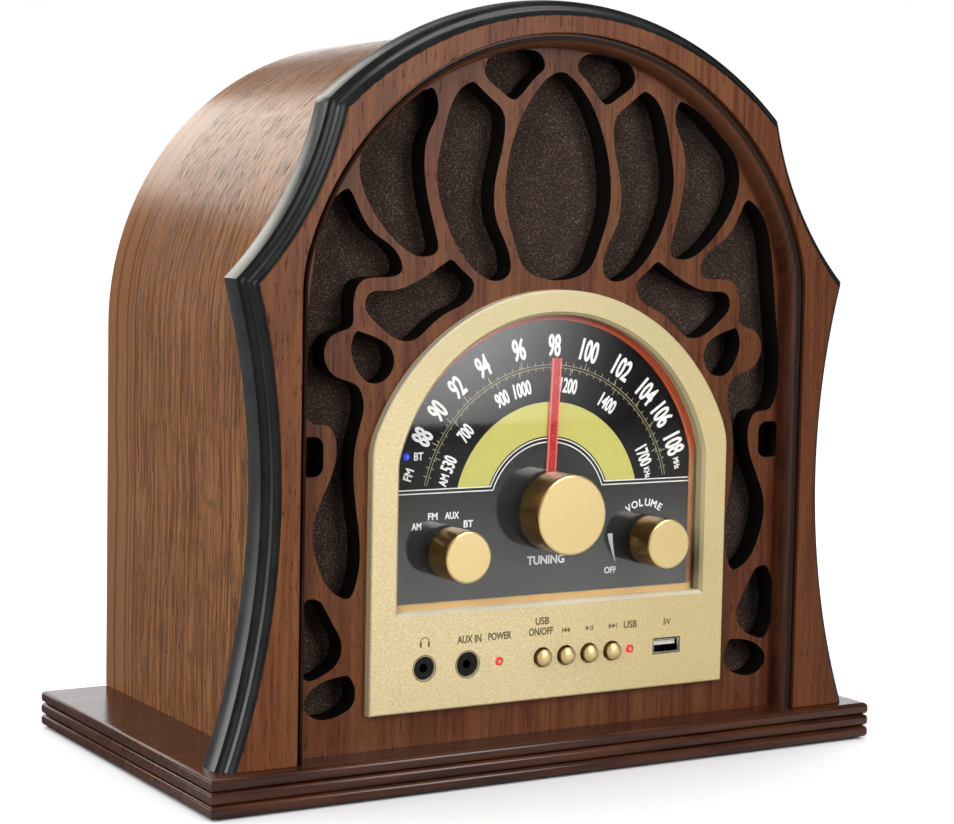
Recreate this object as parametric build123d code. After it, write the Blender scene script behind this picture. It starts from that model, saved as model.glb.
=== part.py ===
from build123d import *
import os
from math import cos, hypot, radians, sin, sqrt

# A tabletop radio in a round-topped wooden cabinet with a fret-cut front. Millimetres, +Z up. The front
# faces -Y, and the origin is the middle of the footprint, on the surface that the radio stands on.
# "Front" and "back" in the names below are depths along Y.

# ------------------------------------------------------------------ driving dimensions: case

BASE_WIDTH, BASE_DEPTH = 315.0, 180.0
FOOT_HEIGHT, FOOT_RADIUS = 0.8, 9.0
FOOT_X, FOOT_Y = 138.0, 72.0
BASE_TOP = 16.0
REED_COUNT, REED_ROUND = 3, 1.8

SHELL_HALF = 127.5  # half the cabinet's width, and the radius of its round top
SHELL_WALL = 9.0
ARCH_CENTRE_Z = 176.5
SHELL_BACK = 90.0
RABBET_WALL, RABBET_DEPTH = 3.0, 7.0
PANEL_FRONT, PANEL_BACK = SHELL_BACK - RABBET_DEPTH, SHELL_BACK - 3.0
BASE_SCREWS = [(x, y) for x in (-111.0, 111.0) for y in (-30.0, 45.0)]
SCREW_SHANK, SCREW_HEAD, COUNTERBORE = 2.0, 4.0, 3.0

FRAME_FRONT, FRAME_BACK = -85.0, -68.5
TOP_RADIUS, TOP_CENTRE_Z = 148.0, 158.0
UPPER_NOTCH_X = 101.5
UPPER_NOTCH_Z = TOP_CENTRE_Z + sqrt(TOP_RADIUS**2 - UPPER_NOTCH_X**2)
LOWER_NOTCH = (137.8, 199.0)
LEG_FOOT_X = 145.0
UPPER_HOLLOW = (115.0, 230.0)  # deepest points of the two hollow curves of each side
SIDE_HOLLOW = (127.7, 108.0)
OPENING_HALF, OPENING_APEX, OPENING_RADIUS, OPENING_SHOULDER = 119.5, 298.8, 122.5, 60.0

FRET_FRONT, FRET_BACK = -74.0, -63.5
PANEL_HALF = SHELL_HALF - SHELL_WALL - 0.2
CLOTH_FRONT, CLOTH_BACK = -63.1, -62.3
BAFFLE_FRONT, BAFFLE_BACK = -62.0, -53.0

# ------------------------------------------------------------------ driving dimensions: dial and controls

PLATE_FRONT, PLATE_BACK = -78.0, FRET_FRONT
PLATE_HALF, PLATE_FOOT, PLATE_APEX, PLATE_RADIUS, PLATE_SHOULDER = 85.3, 30.2, 197.0, 90.0, 30.0
WINDOW_HALF, WINDOW_FOOT, WINDOW_APEX = 73.0, 70.0, 187.0
WINDOW_RADIUS, WINDOW_SHOULDER = 75.0, 22.0
COLLAR_WALL = 2.0
LENS_FRONT, LENS_BACK = -73.2, -71.7
DIAL_FRONT, DIAL_BACK = -70.0, -68.5
TRIM_WIDTH = 2.3
CHASSIS_FRONT, CHASSIS_BACK = -66.0, -64.5

DIAL_CENTRE = (0.0, 106.8)  # the scale, the pointer and the tuning knob share it
SIDE_KNOB_X, SIDE_KNOB_Z = 48.1, 92.5
KNOB_FRONT, KNOB_BACK = -89.3, -75.4
TUNING_KNOB_RADIUS, SIDE_KNOB_RADIUS = 16.4, 10.45
SHAFT_FRONT, SHAFT_RADIUS, RUNNING_GAP = -80.5, 3.0, 0.05
BUSHING_FRONT, BUSHING_RADIUS = -68.0, 5.0
POINTER_FRONT, POINTER_BACK = -71.3, -70.5
POINTER_TIP, POINTER_WIDTH, POINTER_LEAN = 62.3, 4.4, 2.2

ROW_Z = 47.6  # height of the row of sockets and buttons
HEADPHONE_X, AUX_X = -60.9, -41.1
LED_X = (-26.3, 37.4)
LED_RADIUS = 1.9
BLUE_LED_X, BLUE_LED_Z, BLUE_LED_RADIUS = -66.2, 130.9, 1.75
BUTTON_X = [-5.7 + 11.35 * i for i in range(4)]
BUTTON_RADIUS, BUTTON_HOLE = 3.5, 4.2
BUTTON_TIP, BUTTON_SHOULDER = -81.0, -80.0
STEM_RADIUS, SWITCH_FRONT = 1.6, -67.5
USB_X, USB_WIDTH, USB_HEIGHT, USB_WALL = 56.1, 13.1, 5.7, 0.3
BOARD_FRONT, BOARD_BACK = FRET_BACK, -61.9
PLUG_RADIUS, JACK_BODY = 1.8, 10.0  # bore of a 3.5 mm socket, and the side of its square body

# ------------------------------------------------------------------ driving dimensions: works

SPEAKER_X, SPEAKER_Z = 48.0, 237.0
SPEAKER_HOLE, FLANGE_RADIUS, SPEAKER_SCREW_RADIUS = 34.0, 38.5, 36.4
WORKS_HALF, WORKS_FOOT, WORKS_APEX, WORKS_RADIUS, WORKS_SHOULDER = 86.0, 26.0, 188.0, 90.0, 26.0
SMALL_SCREW = 1.5  # shank radius of every screw that runs along the depth
ESCUTCHEON_SCREWS = [(x, z) for x in (-79.0, 79.0) for z in (38.0, 130.0)]
CHASSIS_SCREWS = [(x, z) for x in (-80.0, 80.0) for z in (90.0, 120.0)]
MAIN_BOARD_Z, BOARD_THICKNESS = BASE_TOP + 10.0, 1.6
FERRITE_Y, FERRITE_Z, FERRITE_RADIUS = 56.0, 70.0, 5.0
INLET_X, INLET_Z = 78.0, 44.0
REAR_SCREW_RADIUS = SHELL_HALF - 6.1
REAR_SCREWS = [(x, z) for x in (-REAR_SCREW_RADIUS, REAR_SCREW_RADIUS) for z in (40.0, 108.0)]
for angle in range(10, 180, 40):
    across, up = REAR_SCREW_RADIUS * cos(radians(angle)), REAR_SCREW_RADIUS * sin(radians(angle))
    REAR_SCREWS.append((across, ARCH_CENTRE_Z + up))

# ------------------------------------------------------------------ helpers


def block(x0, x1, y0, y1, z0, z1):
    """A box between opposite corners."""
    centre = Pos((x0 + x1) / 2, (y0 + y1) / 2, (z0 + z1) / 2)
    return centre * Box(abs(x1 - x0), abs(y1 - y0), abs(z1 - z0))


def slab(outline, front, back):
    """A front-view outline, drawn in (x, z), made solid from one depth to another."""
    return extrude(Plane.XZ.offset(-back) * outline, amount=back - front)


def rod(radius, front, back, x, z):
    """A round bar along the depth."""
    return slab(Pos(x, z) * Circle(radius), front, back)


def turned(profile, x, z):
    """A closed outline of (radius, depth) points turned about the depth axis through (x, z)."""
    return Pos(x, 0, z) * revolve(make_face(Polyline(*profile, close=True)), Axis.Y)


def both_sides(shape):
    """A shape and its mirror image in the radio's middle plane."""
    return shape + mirror(shape, Plane.YZ)


def circle_through(a, b, c):
    """Centre and radius of the circle through three points."""
    d = 2 * (a[0] * (b[1] - c[1]) + b[0] * (c[1] - a[1]) + c[0] * (a[1] - b[1]))
    squares = [p[0] ** 2 + p[1] ** 2 for p in (a, b, c)]
    x = (squares[0] * (b[1] - c[1]) + squares[1] * (c[1] - a[1]) + squares[2] * (a[1] - b[1])) / d
    z = (squares[0] * (c[0] - b[0]) + squares[1] * (a[0] - c[0]) + squares[2] * (b[0] - a[0])) / d
    return (x, z), hypot(a[0] - x, a[1] - z)


def arch_edges(half, foot, apex, radius, shoulder):
    """The open path up one leg, over a three-centred arch and down the other leg, in (x, z)."""
    centre = apex - radius
    rise = sqrt((radius - shoulder) ** 2 - (half - shoulder) ** 2)
    corner = (half - shoulder, centre + rise)
    unit = ((half - shoulder) / (radius - shoulder), rise / (radius - shoulder))
    touch = (radius * unit[0], centre + radius * unit[1])
    middle = ((1 + unit[0]) / 2, unit[1] / 2)
    scale = shoulder / hypot(*middle)
    bend = (corner[0] + scale * middle[0], corner[1] + scale * middle[1])

    def left(point):
        return (-point[0], point[1])

    return [
        Line((half, foot), (half, corner[1])),
        ThreePointArc((half, corner[1]), bend, touch),
        ThreePointArc(touch, (0, apex), left(touch)),
        ThreePointArc(left(touch), left(bend), (-half, corner[1])),
        Line((-half, corner[1]), (-half, foot)),
    ]


def arch(half, foot, apex, radius, shoulder):
    """A flat face under a three-centred arch."""
    return make_face(arch_edges(half, foot, apex, radius, shoulder) + [Line((-half, foot), (half, foot))])


def round_arch(half, foot=BASE_TOP):
    """A flat face under a half-round arch that shares the cabinet's centre."""
    sides = [Line((half, foot), (half, ARCH_CENTRE_Z)), Line((-half, ARCH_CENTRE_Z), (-half, foot))]
    top = ThreePointArc((half, ARCH_CENTRE_Z), (0, ARCH_CENTRE_Z + half), (-half, ARCH_CENTRE_Z))
    return make_face(sides + [top, Line((-half, foot), (half, foot))])


# ------------------------------------------------------------------ cabinet


def base_plinth():
    """Board with rounded reeds, counterbored from below for the screws."""
    height = (BASE_TOP - FOOT_HEIGHT) / REED_COUNT
    reed = Box(BASE_WIDTH, BASE_DEPTH, height)
    rims = reed.edges().filter_by(Axis.Z, reverse=True)
    reed = fillet(rims, REED_ROUND)
    board = Part()
    for i in range(REED_COUNT):
        board += Pos(0, 0, FOOT_HEIGHT + height * (i + 0.5)) * reed
    for x, y in BASE_SCREWS:
        board -= Pos(x, y, BASE_TOP / 2) * Cylinder(SCREW_SHANK, BASE_TOP)
        board -= Pos(x, y, FOOT_HEIGHT) * Cylinder(SCREW_HEAD + 0.2, 2 * COUNTERBORE)
    return board


def rubber_feet():
    """Four thin rubber pads."""
    foot = Pos(0, 0, FOOT_HEIGHT / 2) * Cylinder(FOOT_RADIUS, FOOT_HEIGHT)
    return Part() + [Pos(x, y) * foot for x in (-FOOT_X, FOOT_X) for y in (-FOOT_Y, FOOT_Y)]


def glue_blocks():
    """Four blocks in the angle between the cabinet's sides and the base."""
    inner = SHELL_HALF - SHELL_WALL
    blocks = Part()
    for x, y in BASE_SCREWS:
        near, far = (inner - 15, inner) if x > 0 else (-inner, 15 - inner)
        blocks += block(near, far, y - 20, y + 20, BASE_TOP, BASE_TOP + 15)
        blocks -= Pos(x, y, BASE_TOP + 5.5) * Cylinder(SCREW_SHANK, 11)
    return blocks


def base_screws():
    """Screws up through the base into the glue blocks."""
    head_top = FOOT_HEIGHT + COUNTERBORE
    screw = Pos(0, 0, head_top - 1.25) * Cylinder(SCREW_HEAD, 2.5)
    screw += Pos(0, 0, (head_top + BASE_TOP + 11) / 2) * Cylinder(SCREW_SHANK, BASE_TOP + 11 - head_top)
    slot = Pos(0, 0, head_top - 2.5) * (Box(6, 1, 1.6) + Box(1, 6, 1.6))
    return Part() + [Pos(x, y) * (screw - slot) for x, y in BASE_SCREWS]


def cabinet_shell():
    """Bent plywood arch, open at the front and back, with a rabbet for the rear panel."""
    inner = SHELL_HALF - SHELL_WALL
    shell = slab(round_arch(SHELL_HALF) - round_arch(inner), FRAME_BACK, SHELL_BACK)
    shell -= slab(round_arch(SHELL_HALF - RABBET_WALL), PANEL_FRONT, SHELL_BACK + 1)
    for x, z in REAR_SCREWS:
        shell -= rod(SMALL_SCREW, PANEL_FRONT - 9, PANEL_FRONT, x, z)
    return shell


def moulded_block(profile):
    """The facia's whole outline, with every edge shaped by a profile.

    The profile is a list of runs, front to back: two points for a straight run and three for an arc,
    each as (distance outside the wood's edge, depth).
    """
    first, last = profile[0][0][1], profile[-1][-1][1]

    def section(radius, side, overrun):
        runs = [[(radius + side * d, y) for d, y in run] for run in profile]
        start, end = runs[0][0], runs[-1][-1]
        edges = [Line(*run) if len(run) == 2 else ThreePointArc(*run) for run in runs]
        path = [end, (end[0], end[1] + overrun), (0, end[1] + overrun)]
        path += [(0, start[1] - overrun), (start[0], start[1] - overrun), start]
        path = [p for i, p in enumerate(path) if i == 0 or p != path[i - 1]]
        return make_face(edges + [Line(a, b) for a, b in zip(path, path[1:])])

    top = Pos(0, 0, TOP_CENTRE_Z) * revolve(section(TOP_RADIUS, 1, 0), Axis.Y)
    solid = top + block(-165, 165, first, last, BASE_TOP, 240)
    upper = ((UPPER_NOTCH_X, UPPER_NOTCH_Z), UPPER_HOLLOW, LOWER_NOTCH)
    side = (LOWER_NOTCH, SIDE_HOLLOW, (LEG_FOOT_X, BASE_TOP))
    for points in (upper, side):
        (x, z), radius = circle_through(*points)
        hollow = revolve(section(radius, -1, 1), Axis.Y)
        solid -= Pos(x, 0, z) * hollow
        solid -= Pos(-x, 0, z) * hollow
    return solid - block(-200, 200, first - 1, last + 1, -20, BASE_TOP)


WOOD_EDGE = [[(0, FRAME_FRONT), (0, FRAME_BACK)]]
MOULDING_EDGE = [
    [(0, FRAME_FRONT + 0.4), (1.5, FRAME_FRONT + 1.25), (2.6, FRAME_FRONT + 2.7)],
    [(2.6, FRAME_FRONT + 2.7), (3.6, FRAME_FRONT + 5.7), (6.1, FRAME_FRONT + 6.8)],
    [(6.1, FRAME_FRONT + 6.8), (6.5, FRAME_FRONT + 7.4)],
    [(6.5, FRAME_FRONT + 7.4), (6.5, FRAME_BACK)],
]


def front_frame():
    """Flat facia, open at the bottom between its two legs."""
    opening = arch(OPENING_HALF, 0, OPENING_APEX, OPENING_RADIUS, OPENING_SHOULDER)
    return moulded_block(WOOD_EDGE) - slab(opening, FRAME_FRONT - 1, FRAME_BACK + 1)


def edge_moulding():
    """Black moulding round the facia: a bead, a cove and a flat side."""
    return moulded_block(MOULDING_EDGE) - moulded_block(WOOD_EDGE)


def arch_bead():
    """Rounded bead between the facia's opening and the fretwork."""
    path = Wire(arch_edges(OPENING_HALF, BASE_TOP, OPENING_APEX, OPENING_RADIUS, OPENING_SHOULDER))
    x = OPENING_HALF
    corners = [(x - 4.8, FRET_FRONT), (x, FRET_FRONT), (x, -82.6), (x - 1.0, -82.6), (x - 1.3, -83.8)]
    edges = [Line(a, b) for a, b in zip(corners, corners[1:])]
    edges.append(ThreePointArc(corners[-1], (x - 3.6, -81.4), corners[0]))
    section = Plane.XY.offset(BASE_TOP) * make_face(edges)
    return sweep(section, path=Plane.XZ * path)


# ------------------------------------------------------------------ fretwork and grille

# Right-hand openings as (x, z) points of closed curves. The left side mirrors them.
CENTRE_PETAL = [
    (3, 283.5), (10, 278), (20, 262), (25, 242), (25, 231), (20, 214), (15, 205), (9, 202),
]
OPENINGS = {
    "top_triangle": [
        (8, 287), (10.5, 291), (15, 292.2), (25, 291.2), (34, 288), (36, 283.5), (27, 274.5), (22, 272.2),
        (18.5, 274.5), (11, 282.5),
    ],
    "second_petal": [
        (42, 278.2), (46.5, 275.5), (54, 258), (56.8, 242), (54, 228), (45, 211), (34, 201.5), (28.5, 200.3),
        (23, 203), (22.3, 208.5), (29, 224), (30, 240), (26, 261), (27, 267), (33, 272.5), (39, 277.2),
    ],
    "third_petal": [
        (60.5, 275), (68, 271.5), (80, 262), (89, 252), (90.5, 240), (84, 226), (72, 213.5), (62, 209.6),
        (56, 212), (56.5, 218), (62, 240), (60.5, 258), (56.8, 270),
    ],
    "side_scroll": [
        (96.8, 235), (101, 232), (109.5, 210), (113.3, 180), (113.3, 150.5), (110, 145.8), (103, 144.5),
        (99.3, 138), (101, 125.5), (109, 104), (107, 92), (98, 78.5), (93, 77.1), (90, 82), (90, 110),
        (90, 141), (87.6, 152), (90.5, 159.6), (100, 163.5), (105, 171.5), (101.5, 179.3), (93.5, 182.7),
        (92.7, 191), (89.5, 199.8), (79, 201.5), (71.8, 204), (73, 209.7), (84, 218.5), (92.5, 231),
    ],
    "small_bean": [
        (90.2, 180.8), (84, 178.8), (75.5, 173), (74.8, 167), (79.5, 161.2), (86, 161), (92, 168.5),
        (93.2, 176.5),
    ],
    "large_bean": [
        (51, 208.2), (57, 204.3), (66, 199.4), (78, 196.3), (86, 195), (87.6, 191), (82, 183.4), (73, 177.4),
        (66, 177.1), (59.5, 181.8), (50, 188.3), (41, 193.4), (39, 198.8), (45, 205),
    ],
    "lower_wedge": [
        (107, 77.5), (111.5, 77.2), (113.4, 74), (113.5, 50), (111, 46.4), (105, 47.2), (97, 53), (95.8, 59),
        (100, 68), (104, 75),
    ],
    "foot_wedge": [
        (93.5, 46.8), (98.5, 46.4), (109, 42), (112, 37), (109, 32.2), (95, 31.9), (91, 34.5), (91, 44.6),
    ],
}
SIDE_SLOT = (104.8, 116.0, 125.0, 140.5)  # x from and to, z from and to, of the slot beside the bead


def closed_curve(points):
    return make_face(Spline(*points, periodic=True))


def openings():
    """Every fret-cut opening as one flat sketch."""
    mirrored = [(-x, z) for x, z in reversed(CENTRE_PETAL)]
    cut = Sketch() + closed_curve(CENTRE_PETAL + mirrored)
    for points in OPENINGS.values():
        cut += closed_curve(points)
        cut += closed_curve([(-x, z) for x, z in points])
    x0, x1, z0, z1 = SIDE_SLOT
    for side in (-1, 1):
        centre = Pos(side * (x0 + x1) / 2, (z0 + z1) / 2)
        cut += centre * RectangleRounded(x1 - x0, z1 - z0, 4)
    return cut


def window(grow=0.0):
    """The dial window's outline, enlarged all round by `grow`."""
    half, foot, apex = WINDOW_HALF + grow, WINDOW_FOOT - grow, WINDOW_APEX + grow
    return arch(half, foot, apex, WINDOW_RADIUS + grow, WINDOW_SHOULDER + grow)


def fretwork_panel():
    """Fret-cut front panel with the recesses for the dial and the control row."""
    face = round_arch(PANEL_HALF) - openings() - window(COLLAR_WALL + 0.3)
    face -= Pos(0, ROW_Z + 0.4) * Rectangle(144, 18)
    panel = slab(face, FRET_FRONT, FRET_BACK)
    for x, z in ESCUTCHEON_SCREWS:
        panel -= rod(SMALL_SCREW, FRET_FRONT, FRET_BACK, x, z)
    for x, z in CHASSIS_SCREWS:
        panel -= rod(SMALL_SCREW, FRET_BACK - 8, FRET_BACK, x, z)
    return panel


def works_cutout():
    """The hole behind the dial and the control row, for the works to pass through."""
    return arch(WORKS_HALF, WORKS_FOOT, WORKS_APEX, WORKS_RADIUS, WORKS_SHOULDER)


def grille_cloth():
    """Cloth behind the fretwork."""
    return slab(round_arch(PANEL_HALF) - works_cutout(), CLOTH_FRONT, CLOTH_BACK)


def speaker_screw_places(side):
    reach = SPEAKER_SCREW_RADIUS / sqrt(2)
    return [(side * SPEAKER_X + x, SPEAKER_Z + z) for x in (-reach, reach) for z in (-reach, reach)]


def speaker_baffle():
    """Board behind the cloth that carries the two drivers."""
    face = round_arch(PANEL_HALF) - works_cutout()
    for side in (-1, 1):
        face -= Pos(side * SPEAKER_X, SPEAKER_Z) * Circle(SPEAKER_HOLE)
    board = slab(face, BAFFLE_FRONT, BAFFLE_BACK)
    for side in (-1, 1):
        for x, z in speaker_screw_places(side):
            board -= rod(SMALL_SCREW, BAFFLE_BACK - 6, BAFFLE_BACK, x, z)
    return board


def speaker_basket(side):
    """Pressed steel frame: a flange, a cone with four windows and a floor."""
    y = BAFFLE_BACK
    outer = [(33, y), (FLANGE_RADIUS, y), (FLANGE_RADIUS, y + 1.4), (34.2, y + 1.4), (16.5, y + 19)]
    inner = [(6, y + 19), (6, y + 17.8), (15.5, y + 17.8)]
    basket = turned(outer + inner, 0, 0)
    opening = slab(Pos(24, 0) * Rectangle(9, 14), y + 4, y + 15)
    for i in range(4):
        basket -= Rot(0, 90 * i, 0) * opening
    basket = Pos(side * SPEAKER_X, 0, SPEAKER_Z) * basket
    for x, z in speaker_screw_places(side):
        basket -= rod(SMALL_SCREW, y - 1, y + 2, x, z)
    return basket


def speaker_surround(side):
    """Half-roll of rubber between the cone and the basket."""
    y, middle, roll, skin = BAFFLE_BACK, 29.9, 2.6, 0.6
    hollow = roll - skin
    outside = ThreePointArc((middle - roll, y), (middle, y - roll), (middle + roll, y))
    inside = ThreePointArc((middle + hollow, y), (middle, y - hollow), (middle - hollow, y))
    outer_edge = Line((middle + roll, y), (middle + hollow, y))
    inner_edge = Line((middle - hollow, y), (middle - roll, y))
    ring = revolve(make_face([outside, outer_edge, inside, inner_edge]), Axis.Y)
    return Pos(side * SPEAKER_X, 0, SPEAKER_Z) * ring


def speaker_cone(side):
    """Paper cone."""
    y = BAFFLE_BACK
    profile = [(27.3, y), (27.3, y + 0.7), (9.5, y + 12.7), (9, y + 12)]
    return turned(profile, side * SPEAKER_X, SPEAKER_Z)


def speaker_magnet(side):
    """Ring magnet between two steel plates."""
    y = BAFFLE_BACK + 19
    yoke = [(0, y), (17, y), (17, y + 1.5)]
    ring = [(20, y + 1.5), (20, y + 8.5)]
    back_plate = [(18.5, y + 8.5), (18.5, y + 10), (0, y + 10)]
    return turned(yoke + ring + back_plate, side * SPEAKER_X, SPEAKER_Z)


def speaker_dust_caps():
    """A small dome at the middle of each cone."""
    y = BAFFLE_BACK + 12
    outside = [(0, y - 3.6), (5, y - 2.9), (7.6, y - 1.6), (9, y)]
    inside = [(8.2, y), (7.1, y - 1.2), (4.7, y - 2.3), (0, y - 3)]
    return Part() + [turned(outside + inside, side * SPEAKER_X, SPEAKER_Z) for side in (-1, 1)]


def cross_head_screw(shank, head, head_height, length, face, x, z, towards=-1):
    """A screw along the depth, its head's underside on `face` and its shank pointing `towards` Y."""
    top, tip = face - towards * head_height, face + towards * length
    screw = rod(head, min(face, top), max(face, top), x, z)
    screw += rod(shank, min(face, tip), max(face, tip), x, z)
    cross = Rectangle(1.3 * head, 0.25 * head) + Rectangle(0.25 * head, 1.3 * head)
    floor = top + towards * 0.45 * head_height
    return screw - slab(Pos(x, z) * cross, min(floor, top), max(floor, top))


def speaker_screws():
    face = BAFFLE_BACK + 1.4
    places = speaker_screw_places(-1) + speaker_screw_places(1)
    return Part() + [cross_head_screw(SMALL_SCREW, 2.1, 1.6, 7.0, face, x, z) for x, z in places]


# ------------------------------------------------------------------ escutcheon and dial


def escutcheon():
    """Gold plate with the arched window, a collar round it and the holes of the control row."""
    outline = arch(PLATE_HALF, PLATE_FOOT, PLATE_APEX, PLATE_RADIUS, PLATE_SHOULDER)
    plate = slab(outline, PLATE_FRONT, PLATE_BACK)
    plate = fillet(plate.faces().sort_by(Axis.Y)[0].outer_wire().edges(), 0.9)
    plate -= slab(window(), PLATE_FRONT - 1, PLATE_BACK + 1)
    front = plate.faces().sort_by(Axis.Y)[0]
    plate = chamfer(front.inner_wires()[0].edges(), 1.3)
    plate += slab(window(COLLAR_WALL) - window(), PLATE_BACK, DIAL_FRONT)
    for x in BUTTON_X:
        plate -= rod(BUTTON_HOLE, PLATE_FRONT - 1, PLATE_BACK + 1, x, ROW_Z)
    for x in LED_X:
        plate -= rod(LED_RADIUS + 0.1, PLATE_FRONT - 1, PLATE_BACK + 1, x, ROW_Z)
    for x, radius in ((HEADPHONE_X, 4.8), (AUX_X, 5.1)):
        plate -= rod(radius, PLATE_FRONT - 1, PLATE_BACK + 1, x, ROW_Z)
    slot = Pos(USB_X, ROW_Z) * RectangleRounded(USB_WIDTH + 1.2, USB_HEIGHT + 1.2, 0.5)
    plate -= slab(slot, PLATE_FRONT - 1, PLATE_BACK + 1)
    for x, z in ESCUTCHEON_SCREWS:
        plate -= rod(SMALL_SCREW, PLATE_BACK - 2.5, PLATE_BACK, x, z)
    return plate


def escutcheon_screws():
    """Screws through the fretwork from behind."""
    length = FRET_BACK - PLATE_BACK + 2.3
    screws = [cross_head_screw(SMALL_SCREW, 2.8, 1.1, length, FRET_BACK, x, z) for x, z in ESCUTCHEON_SCREWS]
    return Part() + screws


def shaft_holes(sketch, radius):
    """Cuts the three shafts' holes from a flat sketch."""
    for x, z in (DIAL_CENTRE, (-SIDE_KNOB_X, SIDE_KNOB_Z), (SIDE_KNOB_X, SIDE_KNOB_Z)):
        sketch -= Pos(x, z) * Circle(radius)
    return sketch


def dial_trim():
    """Copper-coloured ring between the lens and the dial."""
    return slab(window() - window(-TRIM_WIDTH), LENS_BACK, DIAL_FRONT)


def dial_lens():
    return slab(shaft_holes(window(-0.1), 4.2), LENS_FRONT, LENS_BACK)


def dial_plate():
    """Printed plate behind the collar."""
    face = shaft_holes(window(COLLAR_WALL), 3.4)
    face -= Pos(BLUE_LED_X, BLUE_LED_Z) * Circle(BLUE_LED_RADIUS + 0.05)
    return slab(face, DIAL_FRONT, DIAL_BACK)


def dial_chassis():
    """Folded steel bracket: a plate for the controls, four posts to the dial and four side tabs."""
    plate = slab(shaft_holes(Pos(0, 111) * Rectangle(137, 66), BUSHING_RADIUS), CHASSIS_FRONT, CHASSIS_BACK)
    for x in (-60, 60):
        for z in (83, 138):
            plate += rod(3, DIAL_BACK, CHASSIS_FRONT, x, z)
    flange = block(68.5, 70, CHASSIS_FRONT, FRET_BACK + 1.5, 84, 126)
    for z in (84, 114):
        flange += block(70, 84, FRET_BACK, FRET_BACK + 1.5, z, z + 12)
    plate += both_sides(flange)
    for x, z in CHASSIS_SCREWS:
        plate -= rod(SMALL_SCREW, FRET_BACK - 1, FRET_BACK + 2, x, z)
    return plate


def chassis_screws():
    """Screws through the chassis tabs into the back of the fretwork."""
    face = FRET_BACK + 1.5
    return Part() + [cross_head_screw(SMALL_SCREW, 2.8, 1.5, 9, face, x, z) for x, z in CHASSIS_SCREWS]


def shaft_nuts():
    """Hexagon nuts that hold the three controls on the chassis."""
    nut = RegularPolygon(8, 6) - Circle(BUSHING_RADIUS)
    places = (DIAL_CENTRE, (-SIDE_KNOB_X, SIDE_KNOB_Z), (SIDE_KNOB_X, SIDE_KNOB_Z))
    return Part() + [slab(Pos(x, z) * nut, CHASSIS_FRONT - 1.8, CHASSIS_FRONT) for x, z in places]


def control_body(body, x, z, bore_end):
    """A control's body with the bushing that its shaft turns in."""
    body += rod(BUSHING_RADIUS, BUSHING_FRONT, CHASSIS_BACK, x, z)
    return body - rod(SHAFT_RADIUS + RUNNING_GAP, BUSHING_FRONT - 1, bore_end, x, z)


def tuning_capacitor():
    x, z = DIAL_CENTRE
    body = block(x - 12, x + 12, CHASSIS_BACK, -42, z - 12, z + 12)
    for dx in (-8, 8):
        body += rod(2, -42, -40, x + dx, z - 8)
    return control_body(body, x, z, -50)


def selector_switch():
    """Rotary switch with two wafers of solder lugs."""
    x, z = -SIDE_KNOB_X, SIDE_KNOB_Z
    body = rod(11.5, CHASSIS_BACK, -52, x, z)
    for y in (-60, -55):
        body += slab(Pos(x, z) * (Rectangle(28, 4) + Rectangle(4, 28)), y, y + 0.6)
    return control_body(body, x, z, -55)


def volume_control():
    """Potentiometer with the on-off switch behind it."""
    x, z = SIDE_KNOB_X, SIDE_KNOB_Z
    body = rod(9, CHASSIS_BACK, -56, x, z) + rod(8, -56, -46, x, z)
    for dx in (-5, 0, 5):
        body += block(x + dx - 0.8, x + dx + 0.8, -60, -59.2, z - 15, z - 6)
    return control_body(body, x, z, -57)


def tuning_shaft():
    return rod(SHAFT_RADIUS, SHAFT_FRONT, -50.5, *DIAL_CENTRE)


def selector_shaft():
    return rod(SHAFT_RADIUS, SHAFT_FRONT, -55.5, -SIDE_KNOB_X, SIDE_KNOB_Z)


def volume_shaft():
    return rod(SHAFT_RADIUS, SHAFT_FRONT, -57.5, SIDE_KNOB_X, SIDE_KNOB_Z)


def tuning_pointer():
    """Needle and hub on the tuning shaft."""
    needle = Pos(0, POINTER_TIP / 2) * Rectangle(POINTER_WIDTH, POINTER_TIP)
    face = Pos(*DIAL_CENTRE) * (Rot(0, 0, -POINTER_LEAN) * needle + Circle(8) - Circle(SHAFT_RADIUS))
    return slab(face, POINTER_FRONT, POINTER_BACK)


def knob(radius, x, z):
    """Hollow-backed knob with a softened front edge and a boss for the shaft."""
    back, front, soft = KNOB_BACK, KNOB_FRONT, 0.9
    outline = [
        (0, front), (radius - soft, front), (radius - 0.3 * soft, front + 0.3 * soft), (radius, front + soft),
        (radius, back), (radius - 2, back), (radius - 2, front + 3), (6, front + 3), (6, back),
        (SHAFT_RADIUS, back), (SHAFT_RADIUS, SHAFT_FRONT - 0.3), (0, SHAFT_FRONT - 0.3),
    ]
    return turned(outline, x, z)


# ------------------------------------------------------------------ control row


def push_button(x):
    """Domed cap, a flange that stops it behind the plate, and a stem into its switch."""
    flange_front = PLATE_BACK + 0.4
    rim = (BUTTON_RADIUS, BUTTON_SHOULDER)
    dome = ThreePointArc((0, BUTTON_TIP), (0.6 * BUTTON_RADIUS, BUTTON_TIP + 0.25), rim)
    corners = [
        rim, (BUTTON_RADIUS, flange_front), (4.6, flange_front),
        (4.6, flange_front + 1.2), (STEM_RADIUS, flange_front + 1.2), (STEM_RADIUS, SWITCH_FRONT + 0.5),
        (0, SWITCH_FRONT + 0.5), (0, BUTTON_TIP),
    ]
    edges = [dome] + [Line(a, b) for a, b in zip(corners, corners[1:])]
    return Pos(x, 0, ROW_Z) * revolve(make_face(edges), Axis.Y)


def tact_switches():
    """One switch behind each button, open at the front for the button's stem."""
    switches = Part()
    for x in BUTTON_X:
        body = block(x - 3, x + 3, SWITCH_FRONT, BOARD_FRONT, ROW_Z - 3, ROW_Z + 3)
        switches += body - rod(STEM_RADIUS + 0.2, SWITCH_FRONT - 1, SWITCH_FRONT + 3, x, ROW_Z)
    return switches


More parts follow.
